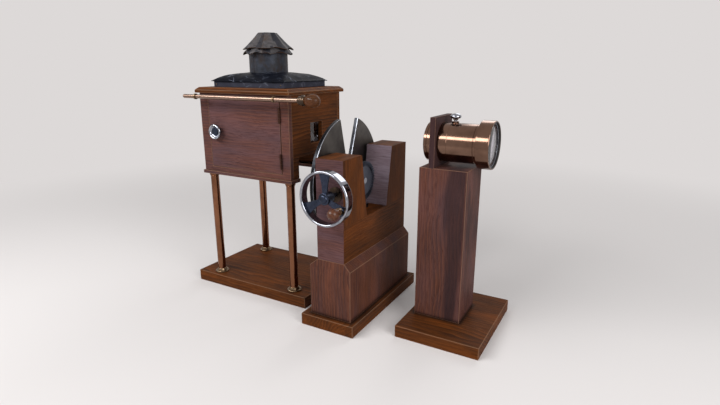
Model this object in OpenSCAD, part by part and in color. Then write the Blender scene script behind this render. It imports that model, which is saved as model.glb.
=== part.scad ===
// Magic lantern on a table: a wooden lamp house on four brass posts, a stand that carries a
// notched shutter disc turned by a hand wheel, and a pillar that carries the projection lens.
// Millimetres. X runs along the beam towards the lens, Y away from the door, Z up.
// The origin lies on the table, under the beam, at the middle of the disc stand.

/* [Beam] */
// Height of the optical axis above the table
beam_z = 365; // [345:1:372]

/* [Lamp house stand] */
// Left end of the base board
lamp_base_x0 = -407; // [-420:1:-400]
// Right end of the base board
lamp_base_x1 = -95; // [-98:1:-92]
// Half the depth of the base board
lamp_base_half_y = 104; // [100:1:115]
// Thickness of the base board
lamp_base_h = 25.5; // [20:0.5:30]
// Radius of each post
post_r = 9; // [7:0.5:9.5]
// Radius of the turned flange at the foot of each post
post_flange_r = 15.5; // [14:0.5:18]

/* [Lamp house] */
// Left side of the box
box_x0 = -367; // [-372:1:-360]
// Right side of the box
box_x1 = -126; // [-128:1:-124]
// Half the depth of the box
box_half_y = 95; // [90:1:100]
// Bottom edge of the walls
box_z0 = 276; // [272:1:280]
// Top edge of the walls
box_z1 = 446; // [443:1:448]
// Thickness of the boards
board = 10; // [8:0.5:11]
// Thickness of the top slab
slab_h = 12; // [11:1:14]
// How far the top slab stands out over the walls
slab_over = 7; // [5:0.5:8]
// Side of the square window that lets the beam out
window = 43.5; // [36:0.5:50]
// Half the width of the air gap under the right wall
vent_half_y = 66; // [50:1:68]
// Top of the air gap under the right wall
vent_z1 = 320; // [300:1:325]

/* [Door] */
// Left edge of the door
door_x0 = -342.5; // [-345:0.5:-340]
// Right edge of the door
door_x1 = -149; // [-152:0.5:-149]
// Bottom edge of the door
door_z0 = 287; // [285:0.5:292]
// Top edge of the door
door_z1 = 432.5; // [425:0.5:433]
// Radius of the dished knob
knob_r = 16.5; // [13:0.5:19]

/* [Roof] */
// Half the length of the sheet metal hood
hood_half_x = 98.5; // [95:0.5:102]
// Half the depth of the hood
hood_half_y = 79; // [76:0.5:82]
// Rise of the hood's dome
hood_rise = 21; // [15:1:26]
// Outer radius of the chimney
chimney_r = 42; // [36:1:44]
// Top of the chimney
chimney_z1 = 535; // [525:1:540]
// Number of folds round the cowl
folds = 12; // [8:1:16]
// Outer radius of the cowl's rim
cowl_r = 58; // [52:1:64]

/* [Disc stand] */
// Left end of the base board
disc_base_x0 = -64.5; // [-68:0.5:-60]
// Right end of the base board
disc_base_x1 = 54; // [50:0.5:58]
// Front edge of the base board
disc_base_y0 = -157.5; // [-160:0.5:-155]
// Back edge of the base board
disc_base_y1 = 136; // [128:0.5:140]
// Thickness of the base board
disc_base_h = 24; // [20:1:28]
// Front face of the block
block_y0 = -145.5; // [-148:0.5:-143]
// Back face of the block
block_y1 = 122; // [116:0.5:126]
// Left side of the lower block
block_x0 = -48.5; // [-52:0.5:-45]
// Right side of the lower block
block_x1 = 42.5; // [40:0.5:46]
// Half the width of the upper block
block_half_up = 29.5; // [27:0.5:30]
// Top of the two towers
tower_z = 339.5; // [335:0.5:342]

/* [Shutter disc] */
// Radius of the shutter disc
disc_r = 127.5; // [115:0.5:128]
// Thickness of the shutter disc
disc_t = 8; // [3:0.5:8]
// Angle of the notch in the disc, in degrees
notch_deg = 34.5; // [20:0.5:40]
// Height of the disc's shaft above the table
shaft_z = 277; // [275:1:279]
// Place of the disc's shaft across the beam
shaft_y = -22; // [-24:1:-20]

/* [Drive] */
// Teeth on the crown wheel
crown_teeth = 40; // [40:1:40]
// Teeth on the pinion
pinion_teeth = 8; // [8:1:8]
// Pitch diameter per tooth
gear_module = 1.75; // [1.75:0.01:1.75]
// Outer radius of the hand wheel
wheel_r = 51; // [46:0.5:52]
// Width of the hand wheel's rim
wheel_w = 19; // [16:1:20]
// Place of the hand wheel's axle along the beam
wheel_x = 14; // [14:1:14]

/* [Lens stand] */
// Left end of the base board
lens_base_x0 = 120; // [118:1:128]
// Right end of the base board
lens_base_x1 = 283.5; // [275:0.5:295]
// Front edge of the base board
lens_base_y0 = -110; // [-115:1:-95]
// Back edge of the base board
lens_base_y1 = 105; // [95:1:115]
// Thickness of the base board
lens_base_h = 24; // [20:0.5:27]
// Left side of the pillar
pillar_x0 = 132.5; // [131:0.5:135]
// Right side of the pillar
pillar_x1 = 224.5; // [215:0.5:230]
// Half the depth of the pillar
pillar_half_y = 44.5; // [44:0.5:48]
// Top of the pillar
pillar_z = 321.5; // [318:0.5:325]
// Outer radius of the lens tube
tube_r = 36.5; // [34.5:0.5:37.5]
// Outer radius of the hood on the draw tube
lens_hood_r = 44; // [43:0.5:46]

/* [Hidden] */
$fn = 96;
eps = 0.01;

// Fits
run_gap = 0.05;         // radial clearance of a shaft in its bearing
box_mid_x = (box_x0 + box_x1) / 2;

// Posts
post_in = 12;           // from the box's left and right sides to a post's axis
post_in_y = 14;         // from the box's front and back to a post's axis
frame_z0 = 268.5;
frame_over = 3.5;
frame_bar = 24;
flange_h = 8.5;
flange_plate_h = 3;
flange_boss_r = 11.5;
screw_ring_r = 13.4;
screw_head_r = 1.7;
screw_shank_r = 1;
collar_r = 11;
collar_h = 5;
post_xs = [box_x0 + post_in, box_x1 - post_in - 1];
post_ys = [-(box_half_y - post_in_y), box_half_y - post_in_y];

// Roof
slab_z1 = box_z1 + slab_h;
slab_chamfer = [7, 5.7];  // how far the top edge is cut in and down
flue_x = box_mid_x - 2;
collar_half_x = 95;
collar_half_y = 75;
collar_top = slab_z1 + 12;
collar_wall = 5;
hood_wall = 2.5;
arch_steps = 32;         // straight pieces in the hood's arches
arch_power = 2.5;
arch_root = 1.5;
hood_top = collar_top + hood_rise;
chimney_wall = 2;
cowl_wall = 1.6;
skirt_z0 = 524;
skirt_z1 = 545;
cap_z0 = 538;
cap_z1 = 571;
cap_top_r = 22;
fold_depth = 4.5;

// Door
hinge_x = door_x1 + 1;
hinge_y = -box_half_y - 2.5;
knuckle_r = 2.4;
pin_r = 1.2;
leaf_t = 0.95;
leaf_y0 = -box_half_y + 0.2;
leaf_y1 = -box_half_y + board - 1;
hinge_zs = [door_z0 + 26, door_z1 - 26];
leaf_h = 30;
middle_h = 10;
knuckle_gap = 0.2;
knob_x = -318.5;
knob_z = 365;
spindle_r = 3;

// Pull rod
rod_y = -120;
rod_z = 439.5;
rod_r = 4.2;
rod_x0 = -387;
rod_x1 = -72;
eye_xs = [-352, -141];
eye_r = 6;
eye_w = 4;

// Lamp
lamp_tray_z = 296;
lamp_tray_r = 36;
burner_z0 = 322;
wick_w = 12;
wick_t = 2.6;
wick_gap = 0.35;

// Disc stand
chamfer_z0 = 128;
chamfer_z1 = 143;
saddle_z = 215;
gap_low_y = [-56.7, 29.1];    // the gap between the towers, at its floor
gap_top_y = [-76.5, 51.5];    // and at the top of the towers
bush_seat_y = -69;            // flat cut into the front tower for the inner bush
disc_x0 = -41.5;
disc_x1 = disc_x0 + disc_t;
notch_deg_off = -2.75;   // the notch leans this far from upright, in degrees
notch_hub_r = 24;
shaft_r = 6;
bush_r = 9;
eye_x0 = -24;
eye_x1 = -4;
hub_r = 17;

// Gears: a crown wheel on the disc's shaft, driven by a pinion on the hand wheel's axle
crown_r = crown_teeth * gear_module / 2;
pinion_r = pinion_teeth * gear_module / 2;
pitch_x = wheel_x - pinion_r;
addendum = 1.2;
root_gap = 0.5;
crown_root_x = pitch_x - addendum - root_gap;
crown_plate_t = 4;
tooth_face = 8;
crown_out_r = crown_r + tooth_face / 2 + 0.5;
tooth_half = 0.95;      // half a tooth's thickness on the pitch line
tooth_tip_half = 0.45;
axle_r = 5;
pinion_seat_r = 3;
axle_bush_r = 8;

// Hand wheel
wheel_y0 = -189;
wheel_y1 = wheel_y0 + wheel_w;
rim_t = 5.5;
spoke_y0 = -183;
spoke_t = 4;
hub_boss_r = 11;
spoke_angles = [90, 210, 332];
crank_r = 37;
crank_pin_r = 2.5;
crank_x = wheel_x + crank_r * cos(spoke_angles[2]);
crank_z = shaft_z + crank_r * sin(spoke_angles[2]);
ball_r = 10.5;
ball_y = -207;

// Lens
plate_x0 = 150.5;
plate_x1 = 161;
plate_z0 = 300;
plate_z1 = 413.5;
jacket_x0 = 135;
jacket_x1 = 233;
jacket_wall = 2;
draw_r = tube_r - jacket_wall - run_gap;
draw_wall = 2.5;
draw_x0 = 137;
draw_x1 = 248;
hood_x0 = 233.5;
hood_x1 = 257.5;
clamp_x = 183;
clamp_stem_r = 3;

walnut = "saddlebrown";
brass = "goldenrod";
copper = "peru";
steel = "silver";
blued = "darkslategray";
glass = "lightcyan";

// ---- helpers ----

// A box between two corners.
module span(low, high) {
    translate(low) cube(high - low);
}

// A cylinder along X from x0 to x1.
module rod_along_x(x0, x1, r, y = 0, z = 0) {
    translate([x0, y, z]) rotate([0, 90, 0]) cylinder(r = r, h = x1 - x0);
}

// A cylinder along Y from y0 to y1.
module rod_along_y(y0, y1, r, x = 0, z = 0) {
    translate([x, y0, z]) rotate([-90, 0, 0]) cylinder(r = r, h = y1 - y0);
}

// A cylinder along Z from z0 to z1.
module rod_along_z(z0, z1, r, x = 0, y = 0) {
    translate([x, y, z0]) cylinder(r = r, h = z1 - z0);
}

// A profile of [radius, distance] points turned about X, its distance measured along +X.
module turned_along_x(points, x, y, z) {
    translate([x, y, z]) rotate([0, 90, 0]) rotate_extrude() polygon(points);
}

// A profile of [radius, distance] points turned about Y, its distance measured along -Y.
module turned_towards_front(points, x, y, z) {
    translate([x, y, z]) rotate([90, 0, 0]) rotate_extrude() polygon(points);
}

// Points of an outline and its mirror image about x = 0, going round.
function mirrored(points) = concat(
    points, [for (i = [len(points) - 1 : -1 : 0]) [-points[i][0], points[i][1]]]
);

// An outline of [x, z] points drawn out along Y from y0 to y1.
module block_along_y(outline, y0, y1) {
    translate([0, y1, 0]) rotate([90, 0, 0]) linear_extrude(height = y1 - y0) polygon(outline);
}

// An outline of [y, z] points drawn out along X from x0 to x1.
module block_along_x(outline, x0, x1) {
    translate([x0, 0, 0]) rotate([90, 0, 90]) linear_extrude(height = x1 - x0) polygon(outline);
}

// A four-cornered tooth outline: root at y = 0 and tip at y = height.
module tooth(root_half, tip_half, height) {
    polygon([[-root_half, 0], [root_half, 0], [tip_half, height], [-tip_half, height]]);
}

// ---- lamp house stand ----

module lamphouse_base() {
    color(walnut)
        span([lamp_base_x0, -lamp_base_half_y, 0], [lamp_base_x1, lamp_base_half_y, lamp_base_h]);
}

module at_posts() {
    for (x = post_xs, y = post_ys) translate([x, y, 0]) children();
}

module posts() {
    color(copper) at_posts() {
        rod_along_z(lamp_base_h, frame_z0, post_r);
        rod_along_z(frame_z0 - collar_h, frame_z0, collar_r);
    }
}

module screw_places() {
    for (turn = [30 : 120 : 270])
        rotate(turn) translate([screw_ring_r, 0, lamp_base_h]) children();
}

module post_flanges() {
    color(brass) at_posts() difference() {
        translate([0, 0, lamp_base_h]) rotate_extrude() polygon([
            [post_r, 0], [post_flange_r, 0], [post_flange_r, flange_plate_h],
            [flange_boss_r, flange_plate_h], [flange_boss_r - 0.6, flange_plate_h + 2],
            [post_r + 1, flange_h], [post_r, flange_h]
        ]);
        screw_places() translate([0, 0, -eps]) cylinder(r = screw_shank_r, h = flange_h);
    }
}

module flange_screws() {
    head_z = flange_plate_h;
    color(brass) at_posts() screw_places() {
        cylinder(r = screw_shank_r, h = head_z);
        translate([0, 0, head_z]) cylinder(r1 = screw_head_r, r2 = 0.9, h = 1.1);
    }
}

module bottom_frame() {
    color(walnut) difference() {
        span([box_x0 - frame_over, -box_half_y - frame_over, frame_z0],
             [box_x1 + frame_over, box_half_y + frame_over, box_z0]);
        span([box_x0 + frame_bar, -box_half_y + frame_bar, frame_z0 - 1],
             [box_x1 - frame_bar, box_half_y - frame_bar, box_z0 + 1]);
        span([box_x1 - frame_bar - 1, -vent_half_y, frame_z0 - 1],
             [box_x1 + frame_over + 1, vent_half_y, box_z0 + 1]);
    }
}

// ---- lamp house ----

module front_panel() {
    opening_x1 = hinge_x + 1;
    reveal = 0.7;
    color(walnut) difference() {
        span([box_x0, -box_half_y, box_z0], [box_x1, -box_half_y + board, box_z1]);
        span([door_x0 - reveal, -box_half_y - 1, door_z0 - reveal],
             [opening_x1, -box_half_y + board + 1, door_z1 + reveal]);
    }
}

module back_panel() {
    color(walnut) span([box_x0, box_half_y - board, box_z0], [box_x1, box_half_y, box_z1]);
}

module left_panel() {
    color(walnut) span([box_x0, -box_half_y + board, box_z0],
                       [box_x0 + board, box_half_y - board, box_z1]);
}

module right_panel() {
    color(walnut) difference() {
        span([box_x1 - board, -box_half_y + board, box_z0], [box_x1, box_half_y - board, box_z1]);
        span([box_x1 - board - 1, -window / 2, beam_z - window / 2],
             [box_x1 + 1, window / 2, beam_z + window / 2]);
        span([box_x1 - board - 1, -vent_half_y, box_z0 - 1], [box_x1 + 1, vent_half_y, vent_z1]);
    }
}

// Half the section of the top slab: its edge is cut back towards the top.
function slab_section(half) = [
    [half, box_z1], [half, slab_z1 - slab_chamfer[1]], [half - slab_chamfer[0], slab_z1]
];

module top_slab() {
    half_x = (box_x1 - box_x0) / 2 + slab_over;
    half_y = box_half_y + slab_over;
    color(walnut) difference() {
        intersection() {
            translate([box_mid_x, 0, 0])
                block_along_y(mirrored(slab_section(half_x)), -half_y, half_y);
            block_along_x(mirrored(slab_section(half_y)), box_mid_x - half_x, box_mid_x + half_x);
        }
        rod_along_z(box_z1 - 1, slab_z1 + 1, chimney_r - chimney_wall, flue_x, 0);
    }
}

// ---- condenser ----

condenser_r = 33.5;
condenser_len = 30;
cell_wall = 2.5;
cell_x1 = box_x1 - board;
cell_x0 = cell_x1 - condenser_len;
condenser_sag = 9;
condenser_edge = 2.5;

// Radius of the sphere whose cap has the given rim radius and height.
function cap_sphere_r(rim, sag) = (rim * rim + sag * sag) / (2 * sag);

// Height of a spherical cap of the given rim radius and height, at a distance from its axis.
function cap_height(rim, sag, r) =
    let (ball = cap_sphere_r(rim, sag)) sqrt(ball * ball - r * r) - (ball - sag);

// A lens along X: flat at x = 0 with an edge of the given thickness, then a domed face.
module domed_lens(rim, edge, sag) {
    steps = 14;
    rotate([0, 90, 0]) rotate_extrude() polygon(concat(
        [[0, 0], [rim, 0]],
        [for (i = [0 : steps]) let (r = rim * (1 - i / steps)) [r, edge + cap_height(rim, sag, r)]]
    ));
}

module condenser_cell() {
    flange_r = condenser_r + 9;
    color(brass) translate([0, 0, beam_z]) difference() {
        union() {
            rod_along_x(cell_x0, cell_x1, condenser_r + cell_wall);
            rod_along_x(cell_x1 - 2, cell_x1, flange_r);
        }
        rod_along_x(cell_x0 - 1, cell_x1 + 1, condenser_r);
    }
}

module condenser_rear_lens() {
    color(glass) translate([cell_x0 + 1, 0, beam_z])
        domed_lens(condenser_r, condenser_edge, condenser_sag);
}

module condenser_front_lens() {
    color(glass) translate([cell_x1 - 1, 0, beam_z]) mirror([1, 0, 0])
        domed_lens(condenser_r, condenser_edge, condenser_sag);
}

// ---- oil lamp ----

tray_t = 3;
bracket_x = box_x0 + board;
reflector_r = 38;
reflector_x = box_mid_x - 50;
reflector_sag = 9;
reflector_t = 1.5;

module lamp_bracket() {
    stem_x = reflector_x - 7;
    color(blued) {
        rod_along_z(lamp_tray_z, lamp_tray_z + tray_t, lamp_tray_r, box_mid_x, 0);
        span([bracket_x, -9, lamp_tray_z - 3], [box_mid_x, 9, lamp_tray_z]);
        span([bracket_x, -20, lamp_tray_z - 12], [bracket_x + 3, 20, lamp_tray_z + 34]);
        rod_along_z(lamp_tray_z - 1, beam_z + 4, 3, stem_x, 0);
        rod_along_x(stem_x, reflector_x - reflector_t, 4, 0, beam_z);
    }
}

module reflector() {
    ball = cap_sphere_r(reflector_r, reflector_sag);
    centre_x = reflector_x - reflector_t + ball;
    color(steel) intersection() {
        difference() {
            translate([centre_x, 0, beam_z]) sphere(r = ball, $fn = 128);
            translate([centre_x, 0, beam_z]) sphere(r = ball - reflector_t, $fn = 128);
        }
        rod_along_x(reflector_x - 5, reflector_x + reflector_sag, reflector_r, 0, beam_z);
    }
}

module oil_font() {
    z0 = lamp_tray_z + tray_t;
    height = burner_z0 - z0;
    color(brass) translate([box_mid_x, 0, z0]) rotate_extrude() polygon([
        [0, 0], [24, 0], [30, 4], [32, 10], [29, 17], [18, 21], [14, height], [0, height]
    ]);
}

module burner() {
    slot = [wick_t + 2 * wick_gap, wick_w + 2 * wick_gap];
    wall = 1.2;
    tube_h = 28;
    spindle_z = burner_z0 + 6;
    color(brass) translate([box_mid_x, 0, 0]) difference() {
        union() {
            rod_along_z(burner_z0, burner_z0 + 12, 14);
            rod_along_z(burner_z0 + 12, burner_z0 + 15, 20);
            translate([-slot[0] / 2 - wall, -slot[1] / 2 - wall, burner_z0])
                cube([slot[0] + 2 * wall, slot[1] + 2 * wall, tube_h]);
            rod_along_y(-18, -10, 3, 0, spindle_z);
        }
        translate([-slot[0] / 2, -slot[1] / 2, burner_z0 + 2])
            cube([slot[0], slot[1], tube_h]);
        rod_along_y(-19, -9, 1.5 + run_gap, 0, spindle_z);
    }
}

module wick() {
    color("ivory") span([box_mid_x - wick_t / 2, -wick_w / 2, burner_z0 + 12],
                        [box_mid_x + wick_t / 2, wick_w / 2, burner_z0 + 30]);
}

module wick_knob() {
    spindle_z = burner_z0 + 6;
    color(brass) {
        rod_along_y(-32, -9.5, 1.5, box_mid_x, spindle_z);
        rod_along_y(-35, -31, 6.5, box_mid_x, spindle_z);
    }
}

module lamp_glass() {
    z0 = burner_z0 + 15;
    color(glass) translate([box_mid_x, 0, z0]) rotate_extrude() polygon([
        [14, 0], [16, 0], [16.5, 8], [22, 22], [21, 36], [15, 56], [14, 88],
        [12.5, 88], [13.5, 56], [19.5, 36], [20.5, 22], [15, 8], [14, 4]
    ]);
}

// ---- door ----

module door_panel() {
    color(walnut) difference() {
        span([door_x0, -box_half_y, door_z0], [door_x1, -box_half_y + board, door_z1]);
        rod_along_y(-box_half_y - 1, -box_half_y + board + 1, spindle_r + run_gap, knob_x, knob_z);
    }
}

module knuckle(z0, z1) {
    difference() {
        rod_along_z(z0, z1, knuckle_r, hinge_x, hinge_y);
        rod_along_z(z0 - 1, z1 + 1, pin_r + run_gap, hinge_x, hinge_y);
    }
}

// A leaf in the joint beside the door; side is -1 for the door's and 1 for the frame's.
module leaf(side, z, half_h, tab_half_z) {
    inner = 0.05;
    x_low = side < 0 ? hinge_x - leaf_t - inner : hinge_x + inner;
    span([x_low, leaf_y0, z - half_h], [x_low + leaf_t, leaf_y1, z + half_h]);
    for (part = tab_half_z) difference() {
        span([x_low, hinge_y + pin_r + 0.5, z + part[0]], [x_low + leaf_t, leaf_y0 + eps, z + part[1]]);
        rod_along_z(z - leaf_h, z + leaf_h, pin_r + run_gap, hinge_x, hinge_y);
    }
}

module frame_hinge_leaves() {
    half = leaf_h / 2;
    inner = middle_h / 2 + knuckle_gap;
    color(steel) for (z = hinge_zs) {
        leaf(1, z, half, [[-half, -inner], [inner, half]]);
        knuckle(z - half, z - inner);
        knuckle(z + inner, z + half);
    }
}

module door_hinge_leaves() {
    half = middle_h / 2;
    color(steel) for (z = hinge_zs) {
        leaf(-1, z, leaf_h / 2, [[-half, half]]);
        knuckle(z - half, z + half);
    }
}

module hinge_pins() {
    color(steel) for (z = hinge_zs) {
        rod_along_z(z - leaf_h / 2 - 1, z + leaf_h / 2, pin_r, hinge_x, hinge_y);
        rod_along_z(z + leaf_h / 2, z + leaf_h / 2 + 1.2, knuckle_r - 0.3, hinge_x, hinge_y);
    }
}

module door_knob() {
    neck_gap = 0.3;
    inside_y = -box_half_y + board;
    color(steel) {
        turned_towards_front([
            [0, neck_gap], [9, neck_gap], [9, 1.6], [5.5, 2.6], [5.5, 5], [10, 6.4],
            [knob_r - 2.2, 7.2], [knob_r - 0.5, 8.6], [knob_r, 10.8], [knob_r - 0.6, 13],
            [knob_r - 2.4, 14], [knob_r - 4.2, 13.2], [knob_r - 5.2, 11.4], [7, 9.6], [0, 9]
        ], knob_x, -box_half_y, knob_z);
        rod_along_y(-box_half_y - 1, inside_y + 4.5, spindle_r, knob_x, knob_z);
    }
}

module latch_cam() {
    inside_y = -box_half_y + board;
    color(steel) difference() {
        span([door_x0 + 0.5, inside_y + 0.5, knob_z - 5], [knob_x + 7, inside_y + 3.5, knob_z + 5]);
        rod_along_y(inside_y, inside_y + 6, spindle_r, knob_x, knob_z);
    }
}

// ---- roof ----

module vent_collar() {
    color(blued) difference() {
        span([box_mid_x - collar_half_x, -collar_half_y, slab_z1],
             [box_mid_x + collar_half_x, collar_half_y, collar_top]);
        span([box_mid_x - collar_half_x + collar_wall, -collar_half_y + collar_wall, slab_z1 - 1],
             [box_mid_x + collar_half_x - collar_wall, collar_half_y - collar_wall, collar_top + 1]);
    }
}

// Outline of an arch with steep ends and a flat crown.
function arch(half, rise) = [
    for (i = [0 : arch_steps]) let (x = half * sin(90 - i * 180 / arch_steps))
        [x, rise * pow(max(0, 1 - pow(abs(x) / half, arch_power)), 1 / arch_root)]
];

// Two crossing arches whose common part is a cushion-shaped dome with a straight rim.
module dome(half_x, half_y, rise) {
    intersection() {
        block_along_y(arch(half_x, rise), -half_y, half_y);
        block_along_x(arch(half_y, rise), -half_x, half_x);
    }
}

module roof_hood() {
    color(blued) translate([box_mid_x, 0, collar_top]) difference() {
        dome(hood_half_x, hood_half_y, hood_rise);
        translate([0, 0, -eps])
            dome(hood_half_x - hood_wall - 3, hood_half_y - hood_wall - 3, hood_rise - hood_wall);
        rod_along_z(-1, hood_rise + 2, chimney_r, flue_x - box_mid_x, 0);
    }
}

module chimney() {
    z0 = hood_top - 8;
    color("dimgray") translate([flue_x, 0, 0]) difference() {
        rod_along_z(z0, chimney_z1, chimney_r);
        rod_along_z(z0 - 1, chimney_z1 + 1, chimney_r - chimney_wall);
    }
}

// Outline of a pleated ring: the radius steps in and out from fold to fold.
function pleats(r_out, r_in) = [
    for (i = [0 : 2 * folds - 1])
        let (r = i % 2 == 0 ? r_out : r_in, a = i * 180 / folds) [r * cos(a), r * sin(a)]
];

// A pleated cone from radius r0 at z0 to radius r1 at z1, open at the bottom.
module pleated_cone(r0, r1, z0, z1, depth) {
    translate([0, 0, z0]) linear_extrude(height = z1 - z0, scale = r1 / r0)
        polygon(pleats(r0, r0 - depth));
}

module cowl_skirt() {
    top_r = chimney_r + 1.5;
    color("gray") translate([flue_x, 0, 0]) difference() {
        pleated_cone(cowl_r - 1, top_r + 1.5, skirt_z0, skirt_z1 - 6, fold_depth);
        translate([0, 0, -cowl_wall - 0.6])
            pleated_cone(cowl_r - 1, top_r + 1.5, skirt_z0, skirt_z1 - 6, fold_depth);
        rod_along_z(skirt_z0 - 1, skirt_z1, chimney_r);
    }
}

module cowl_cap() {
    strap_z0 = chimney_z1 - 18;
    strap_w = 8;
    color("gray") translate([flue_x, 0, 0]) {
        difference() {
            pleated_cone(cowl_r, cap_top_r, cap_z0, cap_z1, fold_depth);
            translate([0, 0, -cowl_wall - 0.6])
                pleated_cone(cowl_r, cap_top_r, cap_z0, cap_z1, fold_depth);
        }
        for (turn = [45 : 120 : 300]) rotate(turn)
            span([chimney_r - chimney_wall - 2.2, -strap_w / 2, strap_z0],
                 [chimney_r - chimney_wall - 0.2, strap_w / 2, cap_z0 + 12]);
    }
}

// ---- pull rod ----

module rod_eyes() {
    foot_y = -box_half_y;
    color(brass) for (x = eye_xs) difference() {
        union() {
            rod_along_x(x - eye_w / 2, x + eye_w / 2, eye_r, rod_y, rod_z);
            span([x - eye_w / 2, rod_y, rod_z - 3.5], [x + eye_w / 2, foot_y - 1, rod_z + 0.5]);
            span([x - 6, foot_y - 2, rod_z - 5], [x + 6, foot_y, rod_z + 2.5]);
        }
        rod_along_x(x - eye_w, x + eye_w, rod_r + run_gap, rod_y, rod_z);
    }
}

module pull_rod() {
    color(brass) rod_along_x(rod_x0, rod_x1, rod_r, rod_y, rod_z);
}

module rod_ferrule() {
    color(brass) turned_along_x([
        [rod_r, -10], [7, -10], [8, -8], [8, -3], [10, -1.5], [10, 2.5], [8.5, 4], [8.5, 6],
        [0, 6], [0, 0], [rod_r, 0]
    ], rod_x1, rod_y, rod_z);
}

module rod_handle() {
    color(walnut) turned_along_x([
        [0, 0], [7.5, 0], [8.5, 3], [11.5, 9], [12.5, 16], [11.5, 23], [8, 29], [3, 31], [0, 31]
    ], rod_x1 + 6, rod_y, rod_z);
}

// ---- disc stand ----

module disc_stand_base() {
    color(walnut) span([disc_base_x0, disc_base_y0, 0],
                       [disc_base_x1, disc_base_y1, disc_base_h]);
}

module stand_block() {
    color(walnut) block_along_y([
        [block_x0, disc_base_h], [block_x1, disc_base_h], [block_x1, chamfer_z0],
        [block_half_up, chamfer_z1], [-block_half_up, chamfer_z1], [block_x0, chamfer_z0]
    ], block_y0, block_y1);
}

module saddle_block() {
    half = block_half_up;
    color(walnut) difference() {
        span([-half, block_y0, chamfer_z1], [half, block_y1, tower_z]);
        block_along_x([
            [gap_low_y[0], saddle_z], [gap_low_y[1], saddle_z],
            [gap_top_y[1], tower_z], [gap_top_y[1], tower_z + 1],
            [gap_top_y[0], tower_z + 1], [gap_top_y[0], tower_z]
        ], -half - 1, half + 1);
        rod_along_y(block_y0 - 1, bush_seat_y + 1, axle_bush_r, wheel_x, shaft_z);
        rod_along_y(bush_seat_y, bush_seat_y + 12, axle_bush_r + 3.3, wheel_x, shaft_z);
    }
}

module bearing_pedestal() {
    mid_x = (eye_x0 + eye_x1) / 2;
    foot_t = 7;
    eye_out = 15;
    color(blued) difference() {
        union() {
            span([mid_x - 13, shaft_y - 27, saddle_z], [mid_x + 13, shaft_y + 27, saddle_z + foot_t]);
            span([mid_x - 7, shaft_y - 9, saddle_z], [mid_x + 7, shaft_y + 9, shaft_z]);
            span([mid_x - 3, shaft_y - 20, saddle_z], [mid_x + 3, shaft_y + 20, saddle_z + 22]);
            rod_along_x(eye_x0, eye_x1, eye_out, shaft_y, shaft_z);
        }
        rod_along_x(eye_x0 - 1, eye_x1 + 1, bush_r, shaft_y, shaft_z);
    }
}

module disc_bush() {
    color(brass) difference() {
        union() {
            rod_along_x(eye_x0, eye_x1, bush_r, shaft_y, shaft_z);
            rod_along_x(eye_x0 - 2, eye_x0, bush_r + 3, shaft_y, shaft_z);
        }
        rod_along_x(eye_x0 - 4, eye_x1 + 1, shaft_r + run_gap, shaft_y, shaft_z);
    }
}

module axle_bushes() {
    sleeve = 26;
    color(brass) difference() {
        union() {
            rod_along_y(block_y0, block_y0 + sleeve, axle_bush_r, wheel_x, shaft_z);
            rod_along_y(block_y0 - 3, block_y0, axle_bush_r + 6, wheel_x, shaft_z);
            rod_along_y(bush_seat_y - sleeve, bush_seat_y, axle_bush_r, wheel_x, shaft_z);
            rod_along_y(bush_seat_y, bush_seat_y + 2, axle_bush_r + 3, wheel_x, shaft_z);
        }
        rod_along_y(block_y0 - 5, bush_seat_y + 5, axle_r + run_gap, wheel_x, shaft_z);
    }
}

// ---- shutter disc ----

module shutter_disc() {
    reach = 2 * disc_r;
    half = notch_deg / 2;
    color(steel) translate([disc_x0, shaft_y, shaft_z]) rotate([0, 90, 0]) difference() {
        cylinder(r = disc_r, h = disc_t, $fn = 180);
        translate([0, 0, -1]) cylinder(r = bush_r, h = disc_t + 2);
        rotate(180 + notch_deg_off) translate([notch_hub_r, 0, -1]) linear_extrude(height = disc_t + 2)
            polygon([[0, -3], [reach, -reach * tan(half) - 3], [reach, reach * tan(half) + 3], [0, 3]]);
    }
}

module disc_hub() {
    spool_x0 = disc_x0 - 1;
    flange_t = 3;
    color(brass) difference() {
        union() {
            rod_along_x(disc_x0, eye_x0 - 2.3, bush_r, shaft_y, shaft_z);
            rod_along_x(disc_x1, disc_x1 + flange_t, hub_r, shaft_y, shaft_z);
            rod_along_x(spool_x0 - 1, disc_x0, hub_r, shaft_y, shaft_z);
        }
        rod_along_x(spool_x0 - 4, eye_x0, shaft_r, shaft_y, shaft_z);
    }
}

module disc_nut() {
    nut_x1 = disc_x0 - 2;
    color(steel) difference() {
        translate([nut_x1 - 5, shaft_y, shaft_z]) rotate([0, 90, 0]) cylinder(r = 11, h = 5, $fn = 6);
        rod_along_x(nut_x1 - 7, nut_x1 + 1, shaft_r, shaft_y, shaft_z);
    }
}

module disc_shaft() {
    color(steel) rod_along_x(disc_x0 - 9, crown_root_x + 1.5, shaft_r, shaft_y, shaft_z);
}

module crown_wheel() {
    plate_x0 = crown_root_x - crown_plate_t;
    height = 2 * addendum + root_gap;
    root_half = tooth_half + 0.35;
    bevel = 1.2;
    step = 360 / crown_teeth;
    color(steel) translate([0, shaft_y, shaft_z]) difference() {
        union() {
            translate([plate_x0, 0, 0]) rotate([0, 90, 0]) rotate_extrude() polygon([
                [0, 0], [crown_out_r - bevel, 0], [crown_out_r, bevel],
                [crown_out_r, crown_plate_t], [0, crown_plate_t]
            ]);
            rod_along_x(eye_x1 + 0.4, plate_x0 + 1, 12);
            for (i = [0 : crown_teeth - 1]) rotate([(i + 0.5) * step, 0, 0])
                translate([crown_root_x - eps, 0, 0]) rotate([90, 0, 0])
                    translate([0, 0, crown_r - tooth_face / 2])
                        linear_extrude(height = tooth_face)
                            rotate(-90) tooth(root_half, tooth_tip_half, height);
        }
        rod_along_x(eye_x1, crown_root_x + 5, shaft_r);
    }
}

// ---- hand wheel ----

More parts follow.
